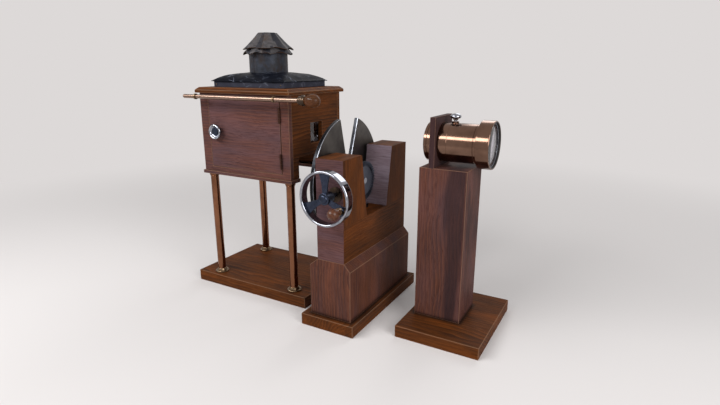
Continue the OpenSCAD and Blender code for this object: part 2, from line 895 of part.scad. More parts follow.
// Section of a ring with rounded edges, turned about the hand wheel's axle.
module wheel_rim() {
    mid_r = wheel_r - rim_t / 2;
    round_r = rim_t / 2;
    color(steel) translate([wheel_x, wheel_y1, shaft_z]) rotate([90, 0, 0]) rotate_extrude() {
        translate([mid_r - round_r, round_r]) square([rim_t, wheel_w - rim_t]);
        translate([mid_r, round_r]) circle(r = round_r, $fn = 32);
        translate([mid_r, wheel_w - round_r]) circle(r = round_r, $fn = 32);
    }
}

module wheel_spokes() {
    inner_r = wheel_r - rim_t;
    color(blued) {
        translate([wheel_x, spoke_y0 + spoke_t, shaft_z]) rotate([90, 0, 0]) difference() {
            intersection() {
                cylinder(r = inner_r, h = spoke_t);
                linear_extrude(height = spoke_t) union() for (angle = spoke_angles) rotate(angle)
                    polygon([[0, -5.5], [16, -5.5], [52, -14], [52, 14], [16, 5.5], [0, 5.5]]);
            }
            translate([0, 0, -1]) cylinder(r = hub_boss_r - 1, h = spoke_t + 2);
        }
        difference() {
            rod_along_y(spoke_y0 - 4, wheel_y1 + 4, hub_boss_r, wheel_x, shaft_z);
            rod_along_y(spoke_y0 - 6, wheel_y1 + 6, axle_r, wheel_x, shaft_z);
        }
        rod_along_y(spoke_y0 - 2, spoke_y0 + 1, 7, crank_x, crank_z);
        rod_along_y(ball_y + 2, spoke_y0 - 1, crank_pin_r, crank_x, crank_z);
    }
}

module wheel_axle() {
    shoulder_y = shaft_y - crown_r - tooth_face / 2;
    hub_front_y = spoke_y0 - 4;
    color(steel) {
        rod_along_y(hub_front_y - 3, hub_front_y, hub_boss_r - 3, wheel_x, shaft_z);
        rod_along_y(hub_front_y - 1, shoulder_y, axle_r, wheel_x, shaft_z);
        rod_along_y(shoulder_y - 1, shoulder_y + tooth_face + 1, pinion_seat_r, wheel_x, shaft_z);
    }
}

module pinion() {
    root_r = pinion_r - addendum - root_gap;
    height = 2 * addendum + root_gap;
    root_half = tooth_half + 0.35;
    y1 = shaft_y - crown_r + tooth_face / 2;
    // The teeth start inside the root cylinder so that they join it all along.
    sink = 0.5;
    color(brass) translate([wheel_x, y1, shaft_z]) rotate([90, 0, 0]) difference() {
        union() {
            cylinder(r = root_r, h = tooth_face);
            for (i = [0 : pinion_teeth - 1]) rotate(i * 360 / pinion_teeth)
                linear_extrude(height = tooth_face) translate([root_r - sink, 0]) rotate(-90)
                    tooth(root_half, tooth_tip_half, height + sink);
        }
        translate([0, 0, -1]) cylinder(r = pinion_seat_r, h = tooth_face + 2);
    }
}

module wheel_knob() {
    neck_y = spoke_y0 - 2.3;
    color("chocolate") difference() {
        union() {
            translate([crank_x, ball_y, crank_z]) sphere(r = ball_r);
            rod_along_y(ball_y, neck_y, 6, crank_x, crank_z);
        }
        rod_along_y(ball_y, neck_y + 1, crank_pin_r + run_gap, crank_x, crank_z);
    }
}

// ---- lens stand ----

module lens_base() {
    color(walnut) span([lens_base_x0, lens_base_y0, 0],
                       [lens_base_x1, lens_base_y1, lens_base_h]);
}

module lens_pillar() {
    color(walnut) difference() {
        span([pillar_x0, -pillar_half_y, lens_base_h], [pillar_x1, pillar_half_y, pillar_z]);
        span([plate_x0, -pillar_half_y - 1, plate_z0], [plate_x1, pillar_half_y + 1, pillar_z + 1]);
    }
}

module lens_plate() {
    color(walnut) difference() {
        span([plate_x0, -pillar_half_y, plate_z0], [plate_x1, pillar_half_y, plate_z1]);
        rod_along_x(plate_x0 - 1, plate_x1 + 1, tube_r, 0, beam_z);
    }
}

module lens_jacket() {
    boss_r = 6.5;
    color(copper) translate([0, 0, beam_z]) difference() {
        union() {
            rod_along_x(jacket_x0, jacket_x1, tube_r);
            rod_along_z(tube_r - 3, tube_r + 3, boss_r, clamp_x, 0);
        }
        rod_along_x(jacket_x0 - 1, jacket_x1 + 1, tube_r - jacket_wall);
        rod_along_z(tube_r - 6, tube_r + 6, clamp_stem_r + run_gap, clamp_x, 0);
    }
}

module draw_tube() {
    color(copper) translate([0, 0, beam_z]) difference() {
        rod_along_x(draw_x0, draw_x1, draw_r);
        rod_along_x(draw_x0 - 1, draw_x1 + 1, draw_r - draw_wall);
    }
}

lip_r = 41;

module lens_hood() {
    color(copper) turned_along_x([
        [draw_r, 0], [lens_hood_r - 1, 0], [lens_hood_r, 1], [lens_hood_r, hood_x1 - hood_x0 - 1],
        [lens_hood_r - 1, hood_x1 - hood_x0], [lip_r + 1.5, hood_x1 - hood_x0],
        [lip_r, hood_x1 - hood_x0 - 2], [lip_r, draw_x1 - hood_x0], [draw_r, draw_x1 - hood_x0]
    ], hood_x0, 0, beam_z);
}

module front_lens() {
    color(glass) translate([draw_x1, 0, beam_z]) domed_lens(lip_r, 3, 4.5);
}

module rear_lens() {
    color(glass) translate([draw_x0 + 12, 0, beam_z]) mirror([1, 0, 0])
        domed_lens(draw_r - draw_wall, 3, 5);
}

module clamp_screw() {
    tip_z = beam_z + draw_r + 0.15;
    head_z = beam_z + tube_r + 5;
    color(steel) translate([clamp_x, 0, 0]) {
        rod_along_z(tip_z, head_z + 1, clamp_stem_r);
        translate([0, 0, head_z]) rotate_extrude() polygon([
            [0, 0], [4.5, 0], [5.5, 2], [9.2, 4], [10, 6.3], [9.4, 8.8], [6.5, 10.9], [3, 11.8], [0, 12]
        ]);
    }
}

lamphouse_base();
posts();
post_flanges();
flange_screws();
bottom_frame();
front_panel();
back_panel();
left_panel();
right_panel();
top_slab();
condenser_cell();
condenser_rear_lens();
condenser_front_lens();
lamp_bracket();
reflector();
oil_font();
burner();
lamp_glass();
wick();
wick_knob();
frame_hinge_leaves();
hinge_pins();
rod_eyes();
door_panel();
door_hinge_leaves();
door_knob();
latch_cam();
vent_collar();
roof_hood();
chimney();
cowl_skirt();
cowl_cap();
pull_rod();
rod_ferrule();
rod_handle();
disc_stand_base();
stand_block();
saddle_block();
bearing_pedestal();
disc_bush();
axle_bushes();
shutter_disc();
disc_hub();
disc_nut();
disc_shaft();
crown_wheel();
wheel_rim();
wheel_spokes();
wheel_axle();
pinion();
wheel_knob();
lens_base();
lens_pillar();
lens_plate();
lens_jacket();
draw_tube();
lens_hood();
front_lens();
rear_lens();
clamp_screw();
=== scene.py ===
"""Dresses a magic lantern: a wooden lamp house, a geared shutter disc and a projection lens.

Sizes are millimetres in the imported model's own frame: X along the beam towards the lens,
Y away from the door, Z up, and the origin on the table under the beam.
"""

import logging
import math
from abc import ABC, abstractmethod
from dataclasses import dataclass, field, replace
from enum import Enum
from itertools import product
from typing import Any, Callable, ClassVar, Iterable, Sequence

import bmesh
import bpy
from bmesh.types import BMVert
from bpy.types import ID, Material, Node, NodeSocket, NodeTree, Object
from mathutils import Matrix, Vector, noise


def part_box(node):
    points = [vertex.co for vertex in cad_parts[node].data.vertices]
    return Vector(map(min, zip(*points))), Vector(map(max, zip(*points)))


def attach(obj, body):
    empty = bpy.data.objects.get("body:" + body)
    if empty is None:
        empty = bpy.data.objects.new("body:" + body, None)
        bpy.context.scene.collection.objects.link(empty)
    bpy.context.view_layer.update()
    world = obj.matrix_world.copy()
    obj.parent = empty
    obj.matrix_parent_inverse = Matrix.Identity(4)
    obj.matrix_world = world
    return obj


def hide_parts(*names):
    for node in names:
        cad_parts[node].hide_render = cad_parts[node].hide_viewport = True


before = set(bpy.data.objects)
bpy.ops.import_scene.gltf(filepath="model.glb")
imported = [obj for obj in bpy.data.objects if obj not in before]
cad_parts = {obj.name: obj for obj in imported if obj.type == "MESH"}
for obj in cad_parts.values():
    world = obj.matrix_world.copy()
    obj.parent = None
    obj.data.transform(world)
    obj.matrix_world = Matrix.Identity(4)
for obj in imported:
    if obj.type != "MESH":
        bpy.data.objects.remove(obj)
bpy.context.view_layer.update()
LOG = logging.getLogger("magic_lantern")
MM = 0.001
# Length of one wave of a Wave texture whose scale is 1.
WAVE = 0.314
Point = tuple[float, float, float]
Profile = Sequence[tuple[float, float]]


class Axis(Enum):
    """A direction along which a piece is turned or its grain runs."""

    X = (1.0, 0.0, 0.0)
    Y = (0.0, 1.0, 0.0)
    Z = (0.0, 0.0, 1.0)
    FRONT = (0.0, -1.0, 0.0)

    @property
    def from_z(self) -> Matrix:
        """Rotation that takes the Z axis to this direction."""
        return Vector((0, 0, 1)).rotation_difference(Vector(self.value)).to_matrix().to_4x4()

    @property
    def to_x(self) -> Point:
        """Euler turn that takes this direction to X, for a Mapping node."""
        return {"X": (0, 0, 0), "Y": (0, 0, -math.pi / 2), "Z": (0, math.pi / 2, 0),
                "FRONT": (0, 0, math.pi / 2)}[self.name]


# ---- material nodes ----

def linear(colour: str) -> tuple[float, float, float, float]:
    """Turns an sRGB hex colour into linear RGBA.

    Args:
        colour: Six hex digits after a hash sign.

    Returns:
        Linear red, green, blue and an alpha of 1.
    """
    parts = [int(colour[i:i + 2], 16) / 255 for i in (1, 3, 5)]
    straight = [c / 12.92 if c <= 0.04045 else ((c + 0.055) / 1.055) ** 2.4 for c in parts]
    return straight[0], straight[1], straight[2], 1.0


def add(tree: NodeTree, kind: str, settings: dict[str, Any] | None = None,
        inputs: dict[str | int, Any] | None = None,
        stops: Iterable[tuple[float, str]] = ()) -> Node:
    """Adds one node with its settings, input values, links and colour stops.

    Args:
        tree: Node tree that gets the node.
        kind: Blender's name for the kind of shader node.
        settings: Properties of the node, by name.
        inputs: For each named or numbered input, a value, an output socket, or a node whose
            first output in use is linked.
        stops: Positions and hex colours of a colour ramp, in rising order.

    Returns:
        The new node.
    """
    node = tree.nodes.new("ShaderNode" + kind)
    for name, value in (settings or {}).items():
        setattr(node, name, value)
    for name, value in (inputs or {}).items():
        if isinstance(value, Node):
            value = next(output for output in value.outputs if output.enabled)
        if isinstance(value, NodeSocket):
            tree.links.new(value, node.inputs[name])
        else:
            node.inputs[name].default_value = value
    for i, (at, colour) in enumerate(stops):
        ramp = node.color_ramp.elements
        stop = ramp[i] if i < 2 else ramp.new(at)
        stop.position = at
        stop.color = linear(colour)
    return node


class Finish(ABC):
    """A surface finish, which makes its own material once."""

    name: str
    slot: str

    @abstractmethod
    def shade(self, tree: NodeTree) -> Node:
        """Adds the finish's nodes and returns the shader node."""

    def material(self) -> Material:
        """Returns the material of this finish, made at its first use."""
        made = bpy.data.materials.get(self.name)
        if made is None:
            made = bpy.data.materials.new(self.name)
            made.use_nodes = True
            made.node_tree.nodes.clear()
            shader = self.shade(made.node_tree)
            add(made.node_tree, "OutputMaterial", inputs={"Surface": shader})
        return made


@dataclass(frozen=True)
class OiledWalnut(Finish):
    """Oiled and waxed walnut, planed from a board: orange-brown wood with dark, wandering
    growth lines, purple-brown streaks and short open pores, under a thin satin wax. On some
    boards a grey-violet painted sheen, a painted reflection of the light, lies over the wood.

    board picks the place in the trunk, heart gives the middle along X and the half width of a
    band of heartwood, meets names the CAD node near which painted shade darkens the wood, worn
    makes the arrises paler, partly rubbed and partly a painted highlight, and bloom is the
    share of the painted sheen.
    """

    grain: Axis
    board: int
    ring_mm: float = 6.5
    rubbed_and_highlit: bool = False
    heart: tuple[float, float] | None = None
    shade_near: str | None = None
    painted_sheen: float = 0.0
    sheen_colour: str = "#5E4A52"
    polish: float = 0.0
    light: str = "#6C3C1D"
    wood: str = "#553017"
    late: str = "#3A2314"
    drift_mm: float = 41.7
    streak_mm: float = 29.4
    pore_mm: float = 0.9
    sway_mm: float = 50.0
    slot: str = "walnut"

    @property
    def name(self) -> str:
        """Name of the material: its wood, grain and board, and whether it is a rubbed, highlit
        arris.
        """
        kind = "rubbed_walnut_arris" if self.rubbed_and_highlit else "oiled_walnut"
        return f"{kind}_{self.grain.name.lower()}_{self.board}"

    def shade(self, tree: NodeTree) -> Node:
        """Adds growth rings about a far tree centre, broad streaks and pores.

        Args:
            tree: Node tree of the material.

        Returns:
            The shader node.
        """
        # Each board lies elsewhere in the trunk, 60 to 180 mm off its centre.
        shift = (0.31 * self.board, 0.085 + 0.023 * (self.board % 5),
                 0.06 + 0.017 * (self.board % 7))
        tilt = 0.04 * (1 if self.board % 2 else -1)
        place = add(tree, "TexCoord").outputs["Object"]
        aligned = add(tree, "Mapping", inputs={
            "Vector": place, "Rotation": self.grain.to_x, "Location": shift})
        slow = add(tree, "Mapping", inputs={"Vector": aligned, "Scale": (0.3, 1, 1)})
        drift = add(tree, "TexNoise", inputs={
            "Vector": slow, "Scale": 1 / (self.drift_mm * MM), "Detail": 2.0})
        wander = add(tree, "VectorMath", {"operation": "MULTIPLY_ADD"}, {
            0: drift.outputs["Color"], 1: (0, 0.016, 0.016), 2: aligned})
        trunk = add(tree, "Mapping", inputs={
            "Vector": wander, "Rotation": (0, tilt, 0.6 * tilt), "Scale": (0.2, 1, 1)})
        rings = add(tree, "TexWave", {
            "wave_type": "RINGS", "rings_direction": "X", "wave_profile": "SAW"}, {
            "Vector": trunk, "Scale": WAVE / (self.ring_mm * MM), "Distortion": 3.5,
            "Detail": 4.0, "Detail Scale": 1.1, "Detail Roughness": 0.6})
        growth = add(tree, "ValToRGB", inputs={0: rings.outputs["Fac"]}, stops=[
            (0.0, self.light), (0.4, self.wood), (0.8, self.late), (0.92, self.late),
            (1.0, self.light)])
        streaks = add(tree, "TexNoise", inputs={
            "Vector": trunk, "Scale": 1 / (self.streak_mm * MM), "Detail": 3.0, "Roughness": 0.6})
        broad = add(tree, "ValToRGB", inputs={0: streaks}, stops=[
            (0.32, "#412719"), (0.5, "#583117"), (0.68, "#703D1A")])
        shown = add(tree, "MapRange", inputs={0: drift, 1: 0.4, 2: 0.62, 3: 0.35, 4: 0.85})
        figure = add(tree, "Mix", {"data_type": "RGBA"}, {0: shown, 6: growth, 7: broad})
        # Painted sheen: a grey-violet film, a painted reflection of the light on the wood.
        if self.painted_sheen:
            sheen_share = add(tree, "MapRange", inputs={
                0: drift, 1: 0.3, 2: 0.7, 3: 0.7 * self.painted_sheen, 4: 1.3 * self.painted_sheen})
            figure = add(tree, "Mix", {"data_type": "RGBA"}, {
                0: sheen_share, 6: figure, 7: linear(self.sheen_colour)})
        # Walnut's pores are 0.2 mm wide; they are drawn pore_mm wide so that they show.
        fibre = add(tree, "Mapping", inputs={"Vector": wander, "Scale": (0.018, 1, 1)})
        pores = add(tree, "TexNoise", inputs={
            "Vector": fibre, "Scale": 1 / (self.pore_mm * MM), "Detail": 3.0, "Roughness": 0.6})
        dark = add(tree, "MapRange", inputs={0: pores, 1: 0.46, 2: 0.72, 3: 0.0, 4: 0.62})
        colour = add(tree, "Mix", {"data_type": "RGBA", "blend_type": "MULTIPLY"}, {
            0: dark, 6: figure, 7: linear("#6E4C3E")})
        # A rubbed arris is paler: partly real rubbing, partly a painted highlight.
        if self.rubbed_and_highlit:
            colour = add(tree, "Mix", {"data_type": "RGBA"}, {
                0: 0.35, 6: colour, 7: linear("#94745C")})
        if self.heart:
            colour = self._heartwood(tree, place, drift, colour)
        # Painted shade near the CAD node that touches this piece.
        if self.shade_near:
            colour = self._contact_shade(tree, place, drift, colour)
        rough = add(tree, "MapRange", inputs={0: pores, 3: 0.4, 4: 0.64})
        relief = add(tree, "Bump", {"invert": True}, {
            "Strength": 0.4, "Distance": 0.0004, "Height": dark})
        return add(tree, "BsdfPrincipled", inputs={
            "Base Color": colour, "Roughness": rough, "Normal": relief, "IOR": 1.5,
            "Specular IOR Level": 0.04, "Coat Weight": self.polish, "Coat Roughness": 0.08})

    def _heartwood(self, tree: NodeTree, place: NodeSocket,
                   drift: Node, colour: Node) -> Node:
        """Adds a dark purple-brown band of heartwood, up the board at a place along X.

        Args:
            tree: Node tree of the material.
            place: Texture coordinates.
            drift: Slow noise that makes the band's edges wander.
            colour: Node whose colour the band darkens.

        Returns:
            The node with the new colour.
        """
        across = add(tree, "SeparateXYZ", inputs={0: place})
        bent = add(tree, "Math", {"operation": "MULTIPLY_ADD"}, {
            0: drift, 1: self.sway_mm * MM, 2: across.outputs["X"]})
        middle, half_width = self.heart
        off = add(tree, "Math", {"operation": "SUBTRACT"}, {
            0: bent, 1: (middle + self.sway_mm / 2) * MM})
        far = add(tree, "Math", {"operation": "ABSOLUTE"}, {0: off})
        band = add(tree, "MapRange", {"interpolation_type": "SMOOTHSTEP"}, {
            0: far, 1: 0.35 * half_width * MM, 2: half_width * MM, 3: 0.72, 4: 0.0})
        return add(tree, "Mix", {"data_type": "RGBA"}, {0: band, 6: colour, 7: linear("#2A2023")})

    def _contact_shade(self, tree: NodeTree, place: NodeSocket,
              drift: Node, colour: Node) -> Node:
        """Adds painted shade, which darkens the wood where two pieces of wood meet.

        Args:
            tree: Node tree of the material.
            place: Texture coordinates.
            drift: Slow noise that makes the painted shade uneven.
            colour: Node whose colour the painted shade darkens.

        Returns:
            The node with the new colour.
        """
        low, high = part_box(self.shade_near)
        from_middle = add(tree, "VectorMath", {"operation": "SUBTRACT"}, {
            0: place, 1: (low + high) / 2})
        folded = add(tree, "VectorMath", {"operation": "ABSOLUTE"}, {0: from_middle})
        outside = add(tree, "VectorMath", {"operation": "SUBTRACT"}, {
            0: folded, 1: (high - low) / 2})
        kept = add(tree, "VectorMath", {"operation": "MAXIMUM"}, {0: outside, 1: (0, 0, 0)})
        far = add(tree, "VectorMath", {"operation": "LENGTH"}, {0: kept})
        reach = add(tree, "MapRange", inputs={0: drift, 3: 0.004, 4: 0.014})
        amount = add(tree, "MapRange", {"interpolation_type": "SMOOTHSTEP"}, {
            0: far.outputs["Value"], 1: 0.0, 2: reach, 3: 0.8, 4: 0.0})
        return add(tree, "Mix", {"data_type": "RGBA"}, {
            0: amount, 6: colour, 7: linear("#1C120E")})


@dataclass(frozen=True)
class WorkedMetal(Finish):
    """A bare or lacquered metal, turned, rolled or cast: a clean colour with soft stains,
    uneven gloss and fine tool marks."""

    name: str
    slot: str
    colour: str
    stain: str
    stain_mm: float = 14.0
    stained: float = 0.45
    roughness: float = 0.2
    uneven: float = 0.1
    marks_mm: float = 0.6
    marks: float = 0.08
    turned: Axis | None = None
    metallic: float = 1.0

    def shade(self, tree: NodeTree) -> Node:
        """Adds stains, uneven gloss and tool marks, which run round a turned piece.

        Args:
            tree: Node tree of the material.

        Returns:
            The shader node.
        """
        where = add(tree, "TexCoord").outputs["Object"]
        blotch = add(tree, "TexNoise", inputs={
            "Vector": where, "Scale": 1 / (self.stain_mm * MM), "Detail": 4.0, "Roughness": 0.6})
        amount = add(tree, "MapRange", inputs={
            0: blotch, 1: 0.42, 2: 0.7, 3: 0.0, 4: self.stained})
        colour = add(tree, "Mix", {"data_type": "RGBA"}, {
            0: amount, 6: linear(self.colour), 7: linear(self.stain)})
        if self.turned:
            lathe = add(tree, "Mapping", inputs={
                "Vector": where, "Scale": tuple(abs(c) + 0.02 for c in self.turned.value)})
            where = lathe
        marks = add(tree, "TexNoise", inputs={
            "Vector": where, "Scale": 1 / (self.marks_mm * MM), "Detail": 3.0})
        rough = add(tree, "MapRange", inputs={
            0: blotch, 1: 0.3, 2: 0.7, 3: max(0.03, self.roughness - self.uneven),
            4: self.roughness + self.uneven})
        relief = add(tree, "Bump", inputs={
            "Strength": self.marks, "Distance": 0.0002, "Height": marks})
        return add(tree, "BsdfPrincipled", inputs={
            "Base Color": colour, "Roughness": rough, "Normal": relief, "Metallic": self.metallic})


@dataclass(frozen=True)
class GroundDiscSteel(Finish):
    """Steel plate, faced on a lathe and browned with age: fine rings about the disc's centre,
    cloudy oil marks and a dull gloss."""

    name: str = "ground_disc_steel"
    slot: str = "disc_steel"
    centre: Point = (0.0, -22.0, 277.0)
    colour: str = "#57534E"
    cloud: str = "#3B3634"
    line: str = "#6C6A68"
    ring_mm: float = 1.1
    cloud_mm: float = 35.7

    def shade(self, tree: NodeTree) -> Node:
        """Adds rings that follow the distance from the disc's centre.

        Args:
            tree: Node tree of the material.

        Returns:
            The shader node.
        """
        place = add(tree, "TexCoord").outputs["Object"]
        middle = add(tree, "VectorMath", {"operation": "SUBTRACT"}, {
            0: place, 1: tuple(c * MM for c in self.centre)})
        flat = add(tree, "VectorMath", {"operation": "MULTIPLY"}, {0: middle, 1: (0, 1, 1)})
        far = add(tree, "VectorMath", {"operation": "LENGTH"}, {0: flat})
        rings = add(tree, "TexNoise", {"noise_dimensions": "1D"}, {
            "W": far.outputs["Value"], "Scale": 1 / (self.ring_mm * MM), "Detail": 2.0})
        clouds = add(tree, "TexNoise", inputs={
            "Vector": place, "Scale": 1 / (self.cloud_mm * MM), "Detail": 5.0, "Roughness": 0.62})
        shade = add(tree, "MapRange", inputs={0: clouds, 1: 0.36, 2: 0.66})
        ringed = add(tree, "MapRange", inputs={0: rings, 1: 0.3, 2: 0.7, 3: 0.0, 4: 0.35})
        base = add(tree, "Mix", {"data_type": "RGBA"}, {
            0: shade, 6: linear(self.colour), 7: linear(self.cloud)})
        colour = add(tree, "Mix", {"data_type": "RGBA"}, {
            0: ringed, 6: base, 7: linear(self.line)})
        rough = add(tree, "MapRange", inputs={0: rings, 3: 0.3, 4: 0.5})
        relief = add(tree, "Bump", inputs={"Strength": 0.12, "Distance": 0.0002, "Height": rings})
        return add(tree, "BsdfPrincipled", inputs={
            "Base Color": colour, "Roughness": rough, "Normal": relief, "Metallic": 1.0})


@dataclass(frozen=True)
class ScratchedJapan(Finish):
    """Black japan, stoved on pressed sheet iron: a deep blue-black gloss, crossed by pale
    scratches that reach the metal and dulled by dust."""

    name: str = "scratched_black_japan"
    slot: str = "roof_iron"
    black: str = "#08090E"
    dusty: str = "#131620"
    rubbed_and_highlit: str = "#7C8496"
    scratch_mm: float = 17.0
    bend_mm: float = 22.22
    dust_mm: float = 16.67

    def shade(self, tree: NodeTree) -> Node:
        """Adds two crossing sets of thin wandering scratches and cloudy dust.

        Args:
            tree: Node tree of the material.

        Returns:
            The shader node.
        """
        place = add(tree, "TexCoord").outputs["Object"]
        bend = add(tree, "TexNoise", inputs={
            "Vector": place, "Scale": 1 / (self.bend_mm * MM), "Detail": 3.0})
        bent = add(tree, "VectorMath", {"operation": "MULTIPLY_ADD"}, {
            0: bend.outputs["Color"], 1: (0.012, 0.012, 0.012), 2: place})
        cuts = []
        for turn, stretch in ((0.6, 0.35), (-0.9, 0.5)):
            lie = add(tree, "Mapping", inputs={
                "Vector": bent, "Rotation": (0, 0, turn), "Scale": (stretch, 1, 1)})
            cells = add(tree, "TexVoronoi", {"feature": "DISTANCE_TO_EDGE"}, {
                "Vector": lie, "Scale": 1 / (self.scratch_mm * MM)})
            cuts.append(add(tree, "MapRange", inputs={0: cells, 1: 0.0, 2: 0.024, 3: 1.0, 4: 0.0}))
        patch = add(tree, "TexNoise", inputs={
            "Vector": place, "Scale": 1 / (self.dust_mm * MM), "Detail": 4.0})
        kept = add(tree, "MapRange", inputs={0: patch, 1: 0.5, 2: 0.66})
        both = add(tree, "Math", {"operation": "MAXIMUM"}, {0: cuts[0], 1: cuts[1]})
        scratch = add(tree, "Math", {"operation": "MULTIPLY"}, {0: both, 1: kept})
        dust = add(tree, "Mix", {"data_type": "RGBA"}, {
            0: patch, 6: linear(self.black), 7: linear(self.dusty)})
        colour = add(tree, "Mix", {"data_type": "RGBA"}, {
            0: scratch, 6: dust, 7: linear(self.rubbed_and_highlit)})
        rough = add(tree, "MapRange", inputs={0: patch, 3: 0.25, 4: 0.5})
        relief = add(tree, "Bump", {"invert": True}, {
            "Strength": 0.3, "Distance": 0.0003, "Height": scratch})
        return add(tree, "BsdfPrincipled", inputs={
            "Base Color": colour, "Roughness": rough, "Normal": relief, "Metallic": scratch,
            "Specular IOR Level": 0.03})


@dataclass(frozen=True)
class RustedSheet(Finish):
    """Sheet iron, rolled or folded and long smoked and rained on: grey scale with brown rust
    in patches and runs, and hardly any gloss."""

    name: str
    slot: str
    grey: str
    pale: str
    rust: str
    rusted: float
    roughness: float
    metallic: float
    mottle_mm: float = 7.69
    patch_mm: float = 26.0

    def shade(self, tree: NodeTree) -> Node:
        """Adds mottled scale, rust patches drawn out downwards, and pitting.

        Args:
            tree: Node tree of the material.

        Returns:
            The shader node.
        """
        place = add(tree, "TexCoord").outputs["Object"]
        mottle = add(tree, "TexNoise", inputs={
            "Vector": place, "Scale": 1 / (self.mottle_mm * MM), "Detail": 6.0, "Roughness": 0.65})
        scale = add(tree, "MapRange", inputs={0: mottle, 1: 0.35, 2: 0.68})
        metal = add(tree, "Mix", {"data_type": "RGBA"}, {
            0: scale, 6: linear(self.grey), 7: linear(self.pale)})
        runs = add(tree, "Mapping", inputs={
            "Vector": place, "Scale": (1, 1, 0.45), "Location": (0.3, 0.1, 0)})
        patches = add(tree, "TexNoise", inputs={
            "Vector": runs, "Scale": 1 / (self.patch_mm * MM), "Detail": 5.0, "Roughness": 0.7})
        amount = add(tree, "MapRange", inputs={
            0: patches, 1: 0.62 - 0.22 * self.rusted, 2: 0.74 - 0.12 * self.rusted,
            3: 0.0, 4: 0.9})
        colour = add(tree, "Mix", {"data_type": "RGBA"}, {
            0: amount, 6: metal, 7: linear(self.rust)})
        bare = add(tree, "MapRange", inputs={0: amount, 3: self.metallic, 4: 0.0})
        rough = add(tree, "MapRange", inputs={
            0: amount, 3: self.roughness, 4: min(0.95, self.roughness + 0.3)})
        relief = add(tree, "Bump", inputs={"Strength": 0.35, "Distance": 0.0006, "Height": mottle})
        return add(tree, "BsdfPrincipled", inputs={
            "Base Color": colour, "Roughness": rough,
            "Normal": relief, "Metallic": bare, "Specular IOR Level": 0.3})


@dataclass(frozen=True)
class PolishedGlass(Finish):
    """Crown glass, ground and polished or blown: clear, with a faint tint, a trace of dust and
    sharp reflections."""

    name: str
    slot: str = "optical_glass"
    tint: str = "#EEEAF6"
    roughness: float = 0.02
    dust_mm: float = 6.25

    def shade(self, tree: NodeTree) -> Node:
        """Adds clear glass whose gloss is broken a little by dust.

        Args:
            tree: Node tree of the material.

        Returns:
            The shader node.
        """
        place = add(tree, "TexCoord").outputs["Object"]
        dust = add(tree, "TexNoise", inputs={
            "Vector": place, "Scale": 1 / (self.dust_mm * MM), "Detail": 5.0})
        rough = add(tree, "MapRange", inputs={
            0: dust, 1: 0.55, 2: 0.8, 3: self.roughness, 4: self.roughness + 0.1})
        return add(tree, "BsdfPrincipled", inputs={
            "Base Color": linear(self.tint), "Roughness": rough,
            "Transmission Weight": 1.0, "IOR": 1.52})


@dataclass(frozen=True)
class VarnishedBeech(Finish):
    """Beech, turned to a ball, stained orange and varnished: fine short flecks under a hard
    gloss."""

    name: str = "varnished_beech"
    slot: str = "beech"
    fleck_mm: float = 1.613

    def shade(self, tree: NodeTree) -> Node:
        """Adds flecks along the grain under a clear varnish.

        Args:
            tree: Node tree of the material.

        Returns:
            The shader node.
        """
        place = add(tree, "TexCoord").outputs["Object"]
        fibre = add(tree, "Mapping", inputs={"Vector": place, "Scale": (1, 0.18, 1)})
        flecks = add(tree, "TexNoise", inputs={
            "Vector": fibre, "Scale": 1 / (self.fleck_mm * MM), "Detail": 3.0})
        colour = add(tree, "ValToRGB", inputs={0: flecks}, stops=[
            (0.3, "#2E160A"), (0.52, "#4E2812"), (0.75, "#66391C")])
        return add(tree, "BsdfPrincipled", inputs={
            "Base Color": colour, "Roughness": 0.35, "IOR": 1.5,
            "Specular IOR Level": 0.3, "Coat Weight": 0.1, "Coat Roughness": 0.08})


@dataclass(frozen=True)
class WovenCotton(Finish):
    """Unbleached cotton tape, woven flat: crossing threads, charred at the burning end.

    charred_mm says how far below its tip the wick begins to char and is black.
    """

    name: str = "woven_cotton_wick"
    slot: str = "cotton"
    thread_mm: float = 0.7
    charred_mm: tuple[float, float] = (8.0, 2.0)

    def shade(self, tree: NodeTree) -> Node:
        """Adds crossing threads that turn black towards the top.

        Args:
            tree: Node tree of the material.

        Returns:
            The shader node.
        """
        place = add(tree, "TexCoord").outputs["Object"]
        threads = [add(tree, "TexWave", {"bands_direction": way}, {
            "Vector": place, "Scale": WAVE / (self.thread_mm * MM)})
            for way in ("Y", "Z")]
        weave = add(tree, "Math", {"operation": "MULTIPLY"}, {
            0: threads[0].outputs["Fac"], 1: threads[1].outputs["Fac"]})
        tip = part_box("wick")[1].z
        start, end = (tip - below * MM for below in self.charred_mm)
        high = add(tree, "SeparateXYZ", inputs={0: place})
        burnt = add(tree, "MapRange", inputs={0: high.outputs["Z"], 1: start, 2: end})
        cloth = add(tree, "Mix", {"data_type": "RGBA"}, {
            0: weave, 6: linear("#B9A988"), 7: linear("#E2D6BC")})
        colour = add(tree, "Mix", {"data_type": "RGBA"}, {
            0: burnt, 6: cloth, 7: linear("#17120F")})
        relief = add(tree, "Bump", inputs={"Strength": 0.5, "Distance": 0.0004, "Height": weave})
        return add(tree, "BsdfPrincipled", inputs={
            "Base Color": colour, "Roughness": 0.9, "Normal": relief, "Sheen Weight": 0.3})


# Brass, turned, polished and handled little: a clean yellow metal with soft stains.
BRASS = WorkedMetal("polished_brass", "brass", "#B08A52", "#6E4D29", roughness=0.2)
# Brass, turned and left to darken in the air: a dull grey-brown gold.
AGED_BRASS = WorkedMetal("aged_brass", "brass", "#7E6A54", "#463628", roughness=0.34,
                         stained=0.6, stain_mm=8)
# Brass, blackened with oil where it carries an axle.
OILED_BRASS = WorkedMetal("oil_darkened_brass", "brass", "#54463A", "#2C2420", roughness=0.35,
                          stained=0.6, stain_mm=8)
# Brass rod, drawn through a die and polished by hand: a pale cream gold with a sharp gloss.
ROD_BRASS = WorkedMetal("drawn_brass_rod", "brass", "#8C7466", "#66503F", roughness=0.2,
                        uneven=0.03, stained=0.3, stain_mm=40, marks=0.02)
